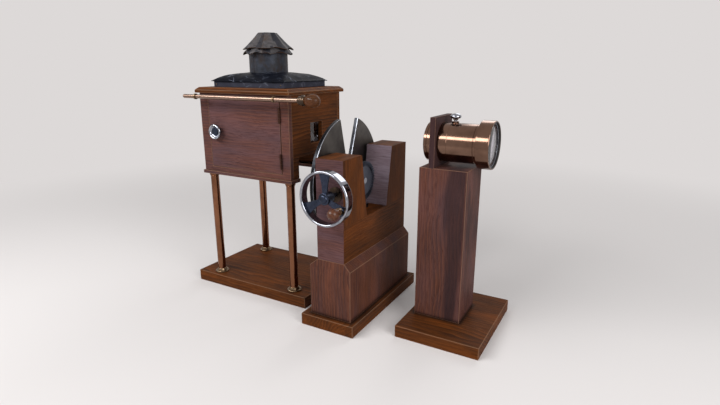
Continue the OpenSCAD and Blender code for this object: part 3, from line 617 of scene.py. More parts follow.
# Copper tube, drawn and lacquered: red-brown, with darker stains under the lacquer.
COPPER = WorkedMetal("lacquered_copper_tube", "bronze", "#835840", "#4E2F20", stain_mm=26,
                     roughness=0.2, uneven=0.06, stained=0.5, marks=0.03)
# Lacquered red brass, turned in a lathe: a warm brown metal with rings round the tube.
BRONZE = WorkedMetal("lacquered_red_brass", "bronze", "#745A4C", "#523C31", stain_mm=34,
                     roughness=0.14, uneven=0.04, turned=Axis.X, marks=0.1, stained=0.6)
# Matt black paint, brushed inside the tubes so that they throw no stray light.
BLACKED = WorkedMetal("blackened_tube_lining", "bronze", "#1A1716", "#2B2521", roughness=0.6,
                      metallic=0.0, marks=0.3)
# Steel, ground and polished bright: a cold grey mirror with faint clouding.
CHROME = WorkedMetal("polished_steel", "steel", "#9C9EA6", "#5E616A", roughness=0.09,
                     uneven=0.05, stained=0.6, marks=0.03, stain_mm=9)
# Steel, browned in a salt bath and oiled: dark brown with a soft gloss.
BROWNED = WorkedMetal("browned_steel", "steel", "#4A332A", "#2A1D18", roughness=0.4,
                      stained=0.6, marks=0.15)
# Steel, heated until it turned blue and then oiled: dark slate with soft brushed gloss.
BLUED = WorkedMetal("oil_blued_steel", "blued_iron", "#3A4050", "#20232C", roughness=0.3,
                    stained=0.7, marks=0.2)
# Steel, painted dark on the rim and in the notch, where faces stand side-on: painted shade.
SHADED_RIM_STEEL = WorkedMetal("oil_blackened_steel", "disc_steel", "#222326", "#151517",
                        roughness=0.28, stained=0.6)
# Steel, painted bright along the arrises of the disc: a painted highlight.
HIGHLIT_ARRIS = WorkedMetal("rubbed_steel_arris", "disc_steel", "#9DA0A8", "#666972",
                           roughness=0.32, stained=0.6)
# Steel, blued and oiled like the wheel it drives: slate grey with the disc's fine rings.
CROWN_STEEL = GroundDiscSteel("oil_blued_gear_steel", colour="#555965", cloud="#353842",
                              line="#666A75")
# Steel, faced on a lathe and browned with age: a dull grey-brown with fine rings.
DISC_STEEL = GroundDiscSteel()
# Black japan, stoved on sheet iron: blue-black and glossy, with scratches down to the metal.
JAPAN = ScratchedJapan()
# Black japan, dulled to grey-blue by dust and heat on the collar under the hood.
DULL_JAPAN = ScratchedJapan("heat_dulled_japan", black="#25262F", dusty="#41424D",
                            rubbed_and_highlit="#666B78", scratch_mm=30.0)
# Sheet iron, rolled and smoke-stained: dark slate with faint brown rust.
STOVE_SHEET = RustedSheet("smoke_stained_sheet_iron", "chimney_iron", "#161920", "#2B303C",
                          rust="#271A12", rusted=0.7, roughness=0.5, metallic=0.2)
# Sheet iron, folded and weathered: nearly black, hardly any gloss, the painted shaded side of
# folds.
COWL_SHADED_SIDE = RustedSheet("weathered_sheet_iron", "cowl_iron", "#14151B", "#26262E",
                         rust="#291C14", rusted=0.35, roughness=0.6, metallic=0.1)
# The same sheet, paler: painted light on the side of each fold that turns round the flue.
COWL_LIT_SIDE = RustedSheet("rain_washed_sheet_iron", "cowl_iron", "#383537", "#555253",
                        rust="#443226", rusted=0.25, roughness=0.6, metallic=0.1)
# The same sheet under the cowl, rusted by steam: brown and matt.
COWL_INSIDE = RustedSheet("rusted_sheet_iron", "cowl_iron", "#2E2620", "#4A3A2C",
                          rust="#4E2F18", rusted=1.0, roughness=0.75, metallic=0.0)
# Crown glass, ground and polished: clear, with a faint violet tint.
GLASS = PolishedGlass("polished_lens_glass")
# Soda glass, blown: clear, faintly yellow and less smooth than a lens.
LAMP_GLASS = PolishedGlass("blown_lamp_glass", tint="#F4F1E6", roughness=0.04)
# Glass, silvered on its back: a bright mirror with a few smoke stains.
MIRROR = WorkedMetal("silvered_reflector", "mirror", "#DADCE0", "#A9A394", roughness=0.07,
                     uneven=0.04, stained=0.4, marks=0.02)
# Beech, turned, stained and varnished: orange-brown with a hard gloss.
BEECH = VarnishedBeech()
# Cotton tape, woven and charred at one end: cream threads that turn black.
COTTON = WovenCotton()


# ---- shapes ----

def compass(degrees: float) -> tuple[Vector, Vector]:
    """Returns the directions out from the Z axis and round it, at a turn from X."""
    a = math.radians(degrees)
    return Vector((math.cos(a), math.sin(a), 0)), Vector((-math.sin(a), math.cos(a), 0))


def arc(radius: float, start: int, stop: int, step: int) -> list[tuple[float, float]]:
    """Returns points round a circle, each turn in degrees from the first axis."""
    return [(radius * math.cos(math.radians(t)), radius * math.sin(math.radians(t)))
            for t in range(start, stop, step)]


class Shape:
    """Closed shells under construction, in millimetres, in the model's own frame."""

    def __init__(self) -> None:
        """Starts with no shell."""
        self.bm = bmesh.new()

    def _since(self, before: set[BMVert]) -> list[BMVert]:
        """Returns the vertices that are not in the given set."""
        return [v for v in self.bm.verts if v not in before]

    def block(self, low: Point, high: Point) -> "Shape":
        """Adds a block between two corners."""
        size, middle = Vector(high) - Vector(low), (Vector(high) + Vector(low)) / 2
        bmesh.ops.create_cube(self.bm, size=1.0, matrix=Matrix.LocRotScale(middle, None, size))
        return self

    def around(self, name: str) -> "Shape":
        """Adds a block as large as a CAD node's box."""
        low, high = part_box(name)
        return self.block(low / MM, high / MM)

    def turn(self, profile: Profile, axis: Axis, at: Point, steps: int = 64,
             ring: bool = False) -> "Shape":
        """Adds a turned shell.

        Args:
            profile: Radius and distance along the axis for each point.
            axis: Axis of the lathe.
            at: Point from which the distances are measured.
            steps: Facets round the turned piece.
            ring: Whether the last point joins the first, as on a tube.

        Returns:
            This shape.
        """
        before = set(self.bm.verts)
        verts = [self.bm.verts.new((r, 0, d)) for r, d in profile]
        edges = [self.bm.edges.new(pair) for pair in zip(verts, verts[1:])]
        if ring:
            edges.append(self.bm.edges.new((verts[-1], verts[0])))
        bmesh.ops.spin(self.bm, geom=[*verts, *edges], cent=(0, 0, 0), axis=(0, 0, 1),
                       dvec=(0, 0, 0), angle=math.tau, steps=steps, use_merge=True,
                       use_duplicate=False)
        bmesh.ops.remove_doubles(self.bm, verts=self._since(before), dist=1e-4)
        bmesh.ops.transform(self.bm, verts=self._since(before),
                            matrix=Matrix.Translation(at) @ axis.from_z)
        return self

    def prism(self, outline: Sequence[Point], depth: Point) -> "Shape":
        """Adds a prism: a flat outline drawn out by a depth."""
        face = self.bm.faces.new([self.bm.verts.new(p) for p in outline])
        drawn = bmesh.ops.extrude_face_region(self.bm, geom=[face])["geom"]
        bmesh.ops.translate(self.bm, vec=depth,
                            verts=[g for g in drawn if isinstance(g, BMVert)])
        return self

    def strip(self, foot: Vector, degrees: float, thickness: float, width: float,
              height: float) -> "Shape":
        """Adds an upright strip of sheet that stands on a circle about the Z axis.

        Args:
            foot: Middle of its inner lower edge.
            degrees: Turn from X at which it stands.
            thickness: Its size away from the axis.
            width: Its size round the axis.
            height: Its size along the axis.

        Returns:
            This shape.
        """
        out, side = compass(degrees)
        foot, out, side = foot - side * width / 2, out * thickness, side * width
        return self.prism([foot, foot + out, foot + out + side, foot + side], (0, 0, height))

    def ball(self, at: Point, radius: float, steps: int = 24) -> "Shape":
        """Adds a small ball."""
        bmesh.ops.create_uvsphere(self.bm, u_segments=steps, v_segments=steps // 2,
                                  radius=radius, matrix=Matrix.Translation(at))
        return self

    def node(self, *names: str) -> "Shape":
        """Adds merged copies of CAD nodes, whose loose triangles become whole faces."""
        for name in names:
            before = set(self.bm.verts)
            self.bm.from_mesh(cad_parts[name].data)
            fresh = self._since(before)
            bmesh.ops.scale(self.bm, vec=(1 / MM,) * 3, verts=fresh)
            bmesh.ops.remove_doubles(self.bm, verts=fresh, dist=1e-3)
        bmesh.ops.dissolve_limit(self.bm, angle_limit=math.radians(0.5),
                                 verts=self.bm.verts, edges=self.bm.edges)
        return self

    def soften(self, width: float, segments: int = 2, over: float = 25.0,
               where: Callable[[Vector], bool] = lambda at: True) -> "Shape":
        """Bevels the sharp edges.

        Args:
            width: Width of the bevel.
            segments: Facets across the bevel.
            over: Least angle, in degrees, at which an edge is sharp.
            where: Picks edges by their middle point.

        Returns:
            This shape.
        """
        self.bm.normal_update()
        edges = [e for e in self.bm.edges
                 if e.is_manifold and abs(e.calc_face_angle(0)) > math.radians(over)
                 and where((e.verts[0].co + e.verts[1].co) / 2)]
        bmesh.ops.bevel(self.bm, geom=edges, offset=width, offset_type="OFFSET",
                        segments=segments, profile=0.5, affect="EDGES", clamp_overlap=True,
                        material=-1)
        return self

    def sculpt(self, move: Callable[[Vector], Vector]) -> "Shape":
        """Moves every vertex by a function of its place."""
        for vert in self.bm.verts:
            vert.co = move(vert.co.copy())
        return self

    def paint_arrises(self, index: int, width: float) -> "Shape":
        """Gives a material number to the narrow faces of the bevelled edges."""
        for face in self.bm.faces:
            if face.calc_area() < width * max(e.calc_length() for e in face.edges):
                face.material_index = index
        return self

    def paint(self, index: int, test: Callable[[Vector, Vector], bool]) -> "Shape":
        """Gives a material number to the faces whose middle and normal pass a test."""
        bmesh.ops.recalc_face_normals(self.bm, faces=self.bm.faces)
        for face in self.bm.faces:
            if test(face.calc_center_median(), face.normal):
                face.material_index = index
        return self


@dataclass
class Assembly:
    """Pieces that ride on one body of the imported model."""

    body: ClassVar[str] = "lamphouse"
    made: list[str] = field(default_factory=list, init=False)

    def fit(self, name: str, shape: Shape, finishes: Finish | Sequence[Finish],
            replaces: Sequence[str] = (), body: str | None = None,
            crease: float = 32.0) -> Object:
        """Turns a shape into a piece that rides on its body.

        Args:
            name: Name of the piece.
            shape: The finished shape.
            finishes: The finish, or one for each material number of the shape.
            replaces: CAD nodes that the piece stands for.
            body: Body to ride on, if not the assembly's own.
            crease: Least angle, in degrees, at which an edge is shaded sharp.

        Returns:
            The new piece.
        """
        finishes = [finishes] if isinstance(finishes, Finish) else list(finishes)
        bm = shape.bm
        bmesh.ops.scale(bm, vec=(MM,) * 3, verts=bm.verts)
        bmesh.ops.recalc_face_normals(bm, faces=bm.faces)
        open_edges = sum(not e.is_manifold for e in bm.edges)
        for part in bm.faces:
            part.smooth = True
        for edge in bm.edges:
            edge.smooth = abs(edge.calc_face_angle(0)) < math.radians(crease)
        mesh = bpy.data.meshes.new(name)
        bm.to_mesh(mesh)
        bm.free()
        piece = bpy.data.objects.new(name, mesh)
        bpy.context.scene.collection.objects.link(piece)
        for finish in finishes:
            mesh.materials.append(finish.material())
        even = piece.modifiers.new("even_normals", "WEIGHTED_NORMAL")
        even.keep_sharp = True
        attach(piece, body or self.body)
        if replaces:
            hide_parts(*replaces)
        self.made.append(name)
        LOG.info("%s: %d faces, %d open edges, stands for %s", name, len(mesh.polygons),
                 open_edges, ", ".join(replaces) or "no node")
        return piece

    def plank(self, name: str, shape: Shape, wood: OiledWalnut, edge: float,
              replaces: Sequence[str], *more: Finish) -> Object:
        """Eases the edges of a wooden piece and makes them pale: rubbed, with a painted highlight.

        Args:
            name: Name of the piece.
            shape: The piece with sharp edges, its faces painted already.
            wood: Finish of its faces.
            edge: Width of the eased edges.
            replaces: CAD nodes that the piece stands for.
            more: Finishes of the other material numbers that its faces have.

        Returns:
            The new piece.
        """
        # Arris finish: rubbed pale with a painted highlight, without painted shade or heartwood.
        finishes = [wood, *more, replace(wood, rubbed_and_highlit=True, shade_near=None, heart=None)]
        shape.soften(edge).paint_arrises(len(finishes) - 1, edge)
        return self.fit(name, shape, finishes, replaces)

    def dress(self, finish: Finish, *nodes: str) -> None:
        """Gives CAD nodes a finish and keeps their shapes."""
        for name in nodes:
            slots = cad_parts[name].data.materials
            slots.clear()
            slots.append(finish.material())
            LOG.info("%s: CAD shape, %s", name, finish.name)


# ---- the lamp house ----

@dataclass
class LampStand(Assembly):
    """Base board and four posts that carry the lamp house."""

    post_xs: tuple[float, float] = (-355.0, -139.0)
    post_ys: tuple[float, float] = (-81.0, 81.0)
    board_z: float = 25.5
    top_z: float = 268.5
    post_r: float = 9.0
    collar_r: float = 11.0
    flange_r: float = 15.5
    screw_ring_r: float = 13.4

    def build(self) -> None:
        """Builds the board, the posts, their flanges and the screws."""
        self.plank("base_board", Shape().node("lamphouse_base"), OiledWalnut(Axis.X, 1), 1.2,
                   ["lamphouse_base"])
        z0, z1, r = self.board_z, self.top_z, self.post_r
        posts, flanges, screws = Shape(), Shape(), Shape()
        for x, y in product(self.post_xs, self.post_ys):
            posts.turn([(0, z0), (r, z0), (r, z1 - 8.5), (r + 0.8, z1 - 7.8),
                        (r + 0.8, z1 - 6.6), (r + 0.2, z1 - 6), (self.collar_r, z1 - 5),
                        (self.collar_r, z1), (0, z1)], Axis.Z, (x, y, 0), steps=48)
            flanges.turn([(r, 0), (self.flange_r, 0), (self.flange_r, 2.2),
                          (self.flange_r - 0.6, 3), (11.5, 3), (11.4, 4.2), (11, 5.2),
                          (10.6, 6.4), (10.2, 8), (9.7, 8.5), (r, 8.5)],
                         Axis.Z, (x, y, z0), steps=48, ring=True)
            for turn in (30, 150, 270):
                out = compass(turn)[0] * self.screw_ring_r
                screws.turn([(0, 2.4), (1.7, 2.4), (1.7, 3.3), (1.2, 3.9), (0.5, 4.1), (0, 4.1)],
                            Axis.Z, (x + out.x, y + out.y, z0), steps=12)
        self.fit("posts_turned", posts.soften(0.4), COPPER, ["posts"])
        self.fit("flanges_turned", flanges, AGED_BRASS, ["post_flanges"])
        self.fit("flange_screw_heads", screws, AGED_BRASS, ["flange_screws"])


@dataclass
class LampHouse(Assembly):
    """Walls, slab and bottom moulding of the lamp house, and the eyes of the pull rod."""

    eye_xs: tuple[float, float] = (-352.0, -141.0)
    eye_foot: tuple[float, float] = (-97.0, 438.5)
    screw_off: float = 4.0

    def build(self) -> None:
        """Builds the boards, each with its own run of grain."""
        # Each board: node, grain, place in the trunk, eased edge and share of painted sheen.
        boards = [("front_panel", Axis.X, 2, 0.8, 0.4), ("back_panel", Axis.X, 3, 0.8, 0.0),
                  ("left_panel", Axis.Y, 4, 0.6, 0.0), ("right_panel", Axis.Y, 5, 0.6, 0.0),
                  ("top_slab", Axis.X, 6, 1.0, 0.0), ("bottom_frame", Axis.X, 7, 1.2, 0.4)]
        for node, grain, board, edge, painted_sheen in boards:
            self.plank(f"{node}_board", Shape().node(node),
                       OiledWalnut(grain, board, painted_sheen=painted_sheen), edge, [node])
        eyes = Shape().node("rod_eyes").soften(0.3, over=40)
        self.fit("rod_eyes_cast", eyes, AGED_BRASS, ["rod_eyes"])
        screws = Shape()
        for x, off in product(self.eye_xs, (-self.screw_off, self.screw_off)):
            screws.turn([(0, -0.6), (1.4, -0.6), (1.4, 0.3), (0.8, 0.8), (0, 0.9)],
                        Axis.FRONT, (x + off, *self.eye_foot), steps=16)
        self.fit("rod_eye_screws", screws, AGED_BRASS)
        self.dress(BROWNED, "frame_hinge_leaves", "hinge_pins")


@dataclass
class LampGear(Assembly):
    """Oil lamp, reflector and condenser inside the lamp house."""

    def build(self) -> None:
        """Dresses the pieces that only show with the door open."""
        self.dress(OILED_BRASS, "condenser_cell")
        self.dress(BRASS, "oil_font", "burner", "wick_knob")
        self.dress(GLASS, "condenser_rear_lens", "condenser_front_lens")
        self.dress(BLUED, "lamp_bracket")
        self.dress(MIRROR, "reflector")
        self.dress(LAMP_GLASS, "lamp_glass")
        self.dress(COTTON, "wick")


@dataclass
class Door(Assembly):
    """Door with its dished ring knob."""

    body: ClassVar[str] = "door"
    knob: Point = (-318.5, -95.0, 365.0)
    knob_r: float = 16.5
    dish_r: float = 9.9

    def build(self) -> None:
        """Builds the door board and turns the knob."""
        # The door board has a painted sheen.
        self.plank("door_board", Shape().node("door_panel"), OiledWalnut(Axis.X, 12, painted_sheen=0.5),
                   0.9, ["door_panel"])
        self.dress(BROWNED, "door_hinge_leaves")
        x, y, z = self.knob
        r = self.knob_r
        knob = Shape().turn([
            (0, 0.3), (9, 0.3), (9, 1.6), (6.2, 2.2), (5.5, 3.4), (5.8, 5), (9, 6.2),
            (r - 2.6, 7.0), (r - 0.9, 8.2), (r - 0.2, 9.6), (r, 10.8), (r - 0.3, 12.2),
            (r - 1.2, 13.4), (r - 2.4, 13.9), (r - 3.6, 13.5), (r - 4.5, 12.5), (r - 5.2, 11.2),
            (9.8, 10.2), (8, 9.5), (7.4, 9.5), (7, 10.1), (4, 10.7), (0, 10.9)],
            Axis.FRONT, self.knob, steps=72)
        knob.paint(1, lambda at, normal: at.y < y - 8
                   and math.hypot(at.x - x, at.z - z) < self.dish_r)
        knob.turn([(0, -12), (3, -12), (3, 2), (0, 2)], Axis.FRONT, self.knob, steps=24)
        self.fit("ring_knob", knob, [CHROME, BLUED], ["door_knob"], body="door_turn")
        pin = Shape().ball((x + 8.8, y - 13.2, z - 11.0), 1.6, 12)
        self.fit("knob_pin", pin, CHROME, body="door_turn")
        self.dress(CHROME, "latch_cam")


# ---- the roof ----

@dataclass
class Roof(Assembly):
    """Vent collar, dented hood, chimney and pleated cowl."""

    body: ClassVar[str] = "roof"
    middle_x: float = -246.5
    flue_x: float = -248.5
    collar: tuple[float, float] = (95.0, 75.0)
    collar_z: tuple[float, float] = (458.0, 470.0)
    hood: tuple[float, float, float] = (98.5, 79.0, 21.0)
    chimney_r: float = 42.0
    chimney_z: tuple[float, float] = (483.0, 535.0)
    hole_r: float = 36.0
    seam_turn: float = -104.0
    folds: int = 7
    leg_z: float = 517.0
    leg_r: float = 37.8

    def build(self) -> None:
        """Builds the roof from the collar up."""
        self.fit("collar_folded", Shape().node("vent_collar").soften(1.0), DULL_JAPAN,
                 ["vent_collar"])
        rivets = Shape()
        for side, front in product((-1, 1), (-1, 1)):
            rivets.ball((self.middle_x + side * (self.collar[0] - 7), front * self.collar[1],
                         self.collar_z[0] + 6), 1.5, 10)
        self.fit("collar_rivets", rivets, AGED_BRASS)
        self.fit("hood_pressed", self.hood_shape(), JAPAN, ["roof_hood"])
        self.fit("chimney_rolled", self.chimney_shape(), STOVE_SHEET, ["chimney"])
        # Outer sheet in a painted shaded and a painted lit copy, one for each side of a fold.
        sheets = [COWL_SHADED_SIDE, COWL_INSIDE, COWL_LIT_SIDE]
        skirt = self.pleated(57.0, 45.2, 524.0, 539.0, 7.0, 5.0, 7)
        self.fit("cowl_skirt_folded", skirt, sheets, ["cowl_skirt"], crease=14)
        cap = self.pleated(58.0, 21.5, 535.0, 570.4, 10.0, 4.5, 3, closed=True)
        for turn in (45, 165, 285):
            foot = Vector((self.flue_x, 0, self.leg_z)) + compass(turn)[0] * self.leg_r
            cap.strip(foot, turn, 2, 8, 33)
        self.fit("cowl_cap_folded", cap, sheets, ["cowl_cap"], crease=14)

    def hood_shape(self) -> Shape:
        """Returns the hood: two crossing arches with soft creases, dents and a folded rim."""
        half_x, half_y, rise = self.hood

        def arch(at: Vector) -> Vector:
            """Places one point of the flat grid on the hood."""
            u, v = (math.sin(c * math.pi / 2) for c in (at.x, at.y))
            x, y = u * half_x, v * half_y
            one, two = (rise * max(0.0, 1 - abs(c) ** 2.5) ** (1 / 1.5) for c in (u, v))
            soft = 1.6
            z = min(one, two) - soft * max(0.0, 1 - abs(one - two) / (3 * soft)) ** 2 / 2
            dent = 0.9 * noise.noise(Vector((x, y, 0)) / 21) * min(1, z / 4)
            return Vector((self.middle_x + x, y, self.collar_z[1] + max(0.9, z + dent - 0.4)))

        shape = Shape()
        bm = shape.bm
        bmesh.ops.create_grid(bm, x_segments=64, y_segments=52, size=1.0)
        shape.sculpt(arch)
        hole = [f for f in bm.faces if math.hypot(
            f.calc_center_median().x - self.flue_x, f.calc_center_median().y) < self.hole_r]
        bmesh.ops.delete(bm, geom=hole, context="FACES")
        bmesh.ops.solidify(bm, geom=bm.faces[:], thickness=1.4)
        bmesh.ops.recalc_face_normals(bm, faces=bm.faces)
        for vert in bm.verts:
            vert.co.z = max(vert.co.z, self.collar_z[1])
        rim = Shape()
        rim.block((self.middle_x - half_x, -half_y, self.collar_z[1]),
                  (self.middle_x + half_x, half_y, self.collar_z[1] + 1.8))
        flat = [f for f in rim.bm.faces if abs(f.normal.z) > 0.5]
        bmesh.ops.inset_region(rim.bm, faces=flat, thickness=2.2, depth=0)
        bmesh.ops.delete(rim.bm, geom=[f for f in rim.bm.faces if abs(f.normal.z) > 0.5
                                       and f.calc_area() > 10000], context="FACES")
        loops = [e for e in rim.bm.edges if e.is_boundary]
        bmesh.ops.bridge_loops(rim.bm, edges=loops)
        rim.soften(0.8, segments=3)
        mesh = bpy.data.meshes.new("rim")
        rim.bm.to_mesh(mesh)
        bm.from_mesh(mesh)
        return shape

    def chimney_shape(self) -> Shape:
        """Returns the chimney: a rolled tube with a lapped, riveted seam."""
        r, (z0, z1) = self.chimney_r, self.chimney_z
        shape = Shape().turn([(r - 2, z0), (r - 0.4, z0), (r - 0.4, z1 - 1), (r - 0.8, z1),
                              (r - 1.6, z1), (r - 2, z1 - 1)], Axis.Z,
                             (self.flue_x, 0, 0), steps=96, ring=True)
        out = compass(self.seam_turn)[0]
        foot = Vector((self.flue_x, 0, z0 + 4)) + out * (r - 1.1)
        shape.strip(foot, self.seam_turn, 1.1, 8, z1 - z0 - 6)
        for step in range(4):
            shape.ball(tuple(foot + out + Vector((0, 0, 8 + 11 * step))), 1.1, 10)
        return shape

    def pleated(self, rim_r: float, top_r: float, z0: float, z1: float, depth: float,
                jag: float, seed: int, closed: bool = False) -> Shape:
        """Makes a ring of folded sheet whose rim is torn unevenly.

        Args:
            rim_r: Outer radius of the rim.
            top_r: Outer radius at the top.
            z0: Height of the rim.
            z1: Height of the top.
            depth: Depth of the folds at the rim.
            jag: Most that the torn rim rises over its lowest point.
            seed: Picks one of the uneven rims.
            closed: Whether the top is closed.

        Returns:
            The folded sheet, its inner side with material number 1 and the painted lit side of
            each fold with material number 2.
        """
        shape = Shape()
        bm = shape.bm
        bmesh.ops.create_cone(bm, cap_ends=False, segments=self.folds * 8, radius1=1.0,
                              radius2=0.999, depth=1.0)
        rows = [e for e in bm.edges if abs(e.verts[0].co.z - e.verts[1].co.z) > 0.5]
        bmesh.ops.subdivide_edges(bm, edges=rows, cuts=7, use_grid_fill=True)

        def fold(at: Vector) -> Vector:
            """Places one point of the plain tube on the folded sheet."""
            high = at.z + 0.5
            a = math.atan2(at.y, at.x)
            turn = a / math.tau * self.folds + 0.2 * seed
            wobble = noise.noise(Vector((math.cos(a) * 2, math.sin(a) * 2, seed)))
            crest = abs((turn + 0.3 * wobble) % 1.0 - 0.5) * 2
            r = rim_r + (top_r - rim_r) * high ** (0.9 if closed else 1.0)
            r -= depth * (1 - high * 0.6) * crest
            r -= (1 - high) * 1.8 * (0.5 + noise.noise(Vector((a * 2.3, high * 2, seed))))
            torn = jag * (0.3 + 0.5 * noise.noise(Vector((math.cos(a) * 3.1, math.sin(a) * 3.1,
                                                          seed + 5))) + 0.9 * crest)
            z = z0 + max(0.0, torn) * (1 - high) + (z1 - z0) * high
            sag = 0.8 * noise.noise(Vector((a * 3, high * 4, seed + 9))) * (1 - high)
            return Vector((self.flue_x + r * math.cos(a), r * math.sin(a), max(z0, z + sag)))

        shape.sculpt(fold)
        if closed:
            top = [e for e in bm.edges if e.is_boundary and e.verts[0].co.z > z1 - 1
                   and e.verts[1].co.z > z1 - 1]
            bmesh.ops.holes_fill(bm, edges=top, sides=0)
        bmesh.ops.recalc_face_normals(bm, faces=bm.faces)
        outer = set(bm.faces)
        bmesh.ops.solidify(bm, geom=bm.faces[:], thickness=1.2)
        # Faces that turn one way round the flue, unless they face left, get the painted lit copy.
        for face in bm.faces:
            at = face.calc_center_median()
            round_it = face.normal.y * (at.x - self.flue_x) - face.normal.x * at.y
            pale = 2 if round_it > 0 and face.normal.x > -0.25 else 0
            face.material_index = pale if face in outer else 1
        return shape


@dataclass
class PullRod(Assembly):
    """Brass rod with a turned wooden handle."""

    body: ClassVar[str] = "slide_rod"
    y: float = -120.0
    z: float = 439.5
    ends: tuple[float, float] = (-387.0, -72.0)
    r: float = 4.2

    def build(self) -> None:
        """Turns the rod, its ferrule and its handle."""
        at = (0.0, self.y, self.z)
        x0, x1 = self.ends
        rod = Shape().turn([(0, x0), (self.r - 1.6, x0), (self.r - 0.4, x0 + 0.6),
                            (self.r, x0 + 1.8), (self.r, x1), (0, x1)], Axis.X, at, steps=40)
        self.fit("rod_drawn", rod, ROD_BRASS, ["pull_rod"])
        ferrule = Shape().turn([
            (self.r, x1 - 10), (6.4, x1 - 10), (7, x1 - 9.4), (7.2, x1 - 8.6), (8, x1 - 7.8),
            (8, x1 - 3.2), (8.6, x1 - 2.4), (9.6, x1 - 1.6), (10, x1 - 0.6), (10, x1 + 1.6),
            (9.6, x1 + 2.6), (8.6, x1 + 3.6), (8.4, x1 + 6), (0, x1 + 6), (0, x1), (self.r, x1)],
            Axis.X, at, steps=48)
        self.fit("ferrule_turned", ferrule, OILED_BRASS, ["rod_ferrule"])
        h = x1 + 6
        handle = Shape().turn([
            (0, h), (7.4, h), (7.8, h + 1.6), (8.6, h + 3.4), (10.2, h + 6), (11.6, h + 9.4),
            (12.4, h + 13), (12.5, h + 17), (12, h + 20.6), (10.8, h + 24), (8.8, h + 27),
            (6.2, h + 29.2), (3.2, h + 30.6), (0, h + 31)], Axis.X, at, steps=48)
        wood = OiledWalnut(Axis.X, 20, ring_mm=3.0, polish=0.2, light="#5E3F24", wood="#452C18")
        self.fit("handle_turned", handle, wood, ["rod_handle"])


# ---- the disc stand ----

@dataclass
class DiscStand(Assembly):
    """Board, lower block and saddle block that carry the disc and the hand wheel."""

    body: ClassVar[str] = "disc_stand"
    saddle_z: float = 215.0
    bolt_xs: tuple[float, float] = (-22.0, -6.0)
    bolt_ys: tuple[float, float] = (-43.0, -1.0)
    bolt_z: float = 222.0

    def build(self) -> None:
        """Builds the wooden blocks and dresses their bearings."""
        # Painted shade where board and lower block meet; painted sheen on the block.
        self.plank("disc_base_board", Shape().node("disc_stand_base"),
                   OiledWalnut(Axis.Y, 8, shade_near="stand_block"), 1.2, ["disc_stand_base"])
        self.plank("stand_block_shaped", Shape().node("stand_block"),
                   OiledWalnut(Axis.Z, 9, ring_mm=5.5, painted_sheen=0.25, shade_near="disc_stand_base"),
                   0.9, ["stand_block"])
        saddle = Shape().node("saddle_block")
        # The towers' sides are cut from the saddle's, because their grain stands upright.
        bmesh.ops.bisect_plane(
            saddle.bm, geom=[*saddle.bm.verts, *saddle.bm.edges, *saddle.bm.faces],
            plane_co=(0, 0, self.saddle_z + 0.01), plane_no=(0, 0, 1))
        # Front and back faces of the saddle get a painted sheen.
        saddle.paint(1, lambda at, normal: abs(normal.y) > 0.7)
        saddle.paint(2, lambda at, normal: at.z > self.saddle_z + 1 and abs(normal.x) > 0.7)
        # The rear tower's leaning front face: a paler painted sheen, for the light it catches.
        saddle.paint(3, lambda at, normal: at.z > self.saddle_z + 1 and at.y > 0
                     and normal.y < -0.7)
        self.plank("saddle_block_shaped", saddle, OiledWalnut(Axis.Y, 10), 0.9,
                   ["saddle_block"], OiledWalnut(Axis.X, 11, ring_mm=4.5, painted_sheen=0.6),
                   OiledWalnut(Axis.Z, 13, ring_mm=5.0),
                   OiledWalnut(Axis.X, 17, ring_mm=4.0, painted_sheen=0.9, sheen_colour="#857680"))
        pedestal = Shape().node("bearing_pedestal").soften(0.6, over=40)
        self.fit("pedestal_cast", pedestal, BLUED, ["bearing_pedestal"])
        bolts = Shape()
        for y, x in product(self.bolt_ys, self.bolt_xs):
            bolts.turn([(0, 0), (3, 0), (3, 2.4), (2.4, 3), (0, 3)], Axis.Z,
                       (x, y, self.bolt_z), steps=6)
        self.fit("pedestal_bolts", bolts, CHROME)
        self.dress(OILED_BRASS, "disc_bush", "axle_bushes")


@dataclass
class Disc(Assembly):
    """Notched shutter disc on its hub, with the crown wheel that turns it."""

    body: ClassVar[str] = "disc"
    y: float = -22.0
    z: float = 277.0
    rivet_x: float = -30.6
    rivet_ring_r: float = 13.4

    def build(self) -> None:
        """Builds the disc with eased arrises and turns its hub."""
        # Side-on rim and notch faces get painted shade; the narrow arris faces a painted
        # highlight.
        disc = Shape().node("shutter_disc").paint(1, lambda at, normal: abs(normal.x) < 0.5)
        disc.soften(0.75, segments=1, over=40).paint_arrises(2, 1.3)
        self.fit("disc_faced", disc, [DISC_STEEL, SHADED_RIM_STEEL, HIGHLIT_ARRIS], ["shutter_disc"],
                 crease=25)
        hub = Shape().turn([
            (6, -43.5), (16, -43.5), (17, -42.8), (17, -41.5), (9, -41.5), (9, -33.5),
            (17, -33.5), (17, -31.3), (16.2, -30.5), (10.4, -30.5), (9.4, -29.6), (9, -28.4),
            (9, -26.3), (6, -26.3)], Axis.X, (0, self.y, self.z), steps=48, ring=True)
        self.fit("hub_turned", hub, AGED_BRASS, ["disc_hub"])
        nut = Shape().node("disc_nut").soften(0.6, over=40)
        self.fit("nut_milled", nut, CHROME, ["disc_nut"])
        rivets = Shape()
        for y, z in arc(self.rivet_ring_r, 20, 380, 60):
            rivets.ball((self.rivet_x, self.y + y, self.z + z), 1.4, 10)
        self.fit("hub_rivets", rivets, CHROME)
        self.dress(CHROME, "disc_shaft")
        self.dress(CROWN_STEEL, "crown_wheel")


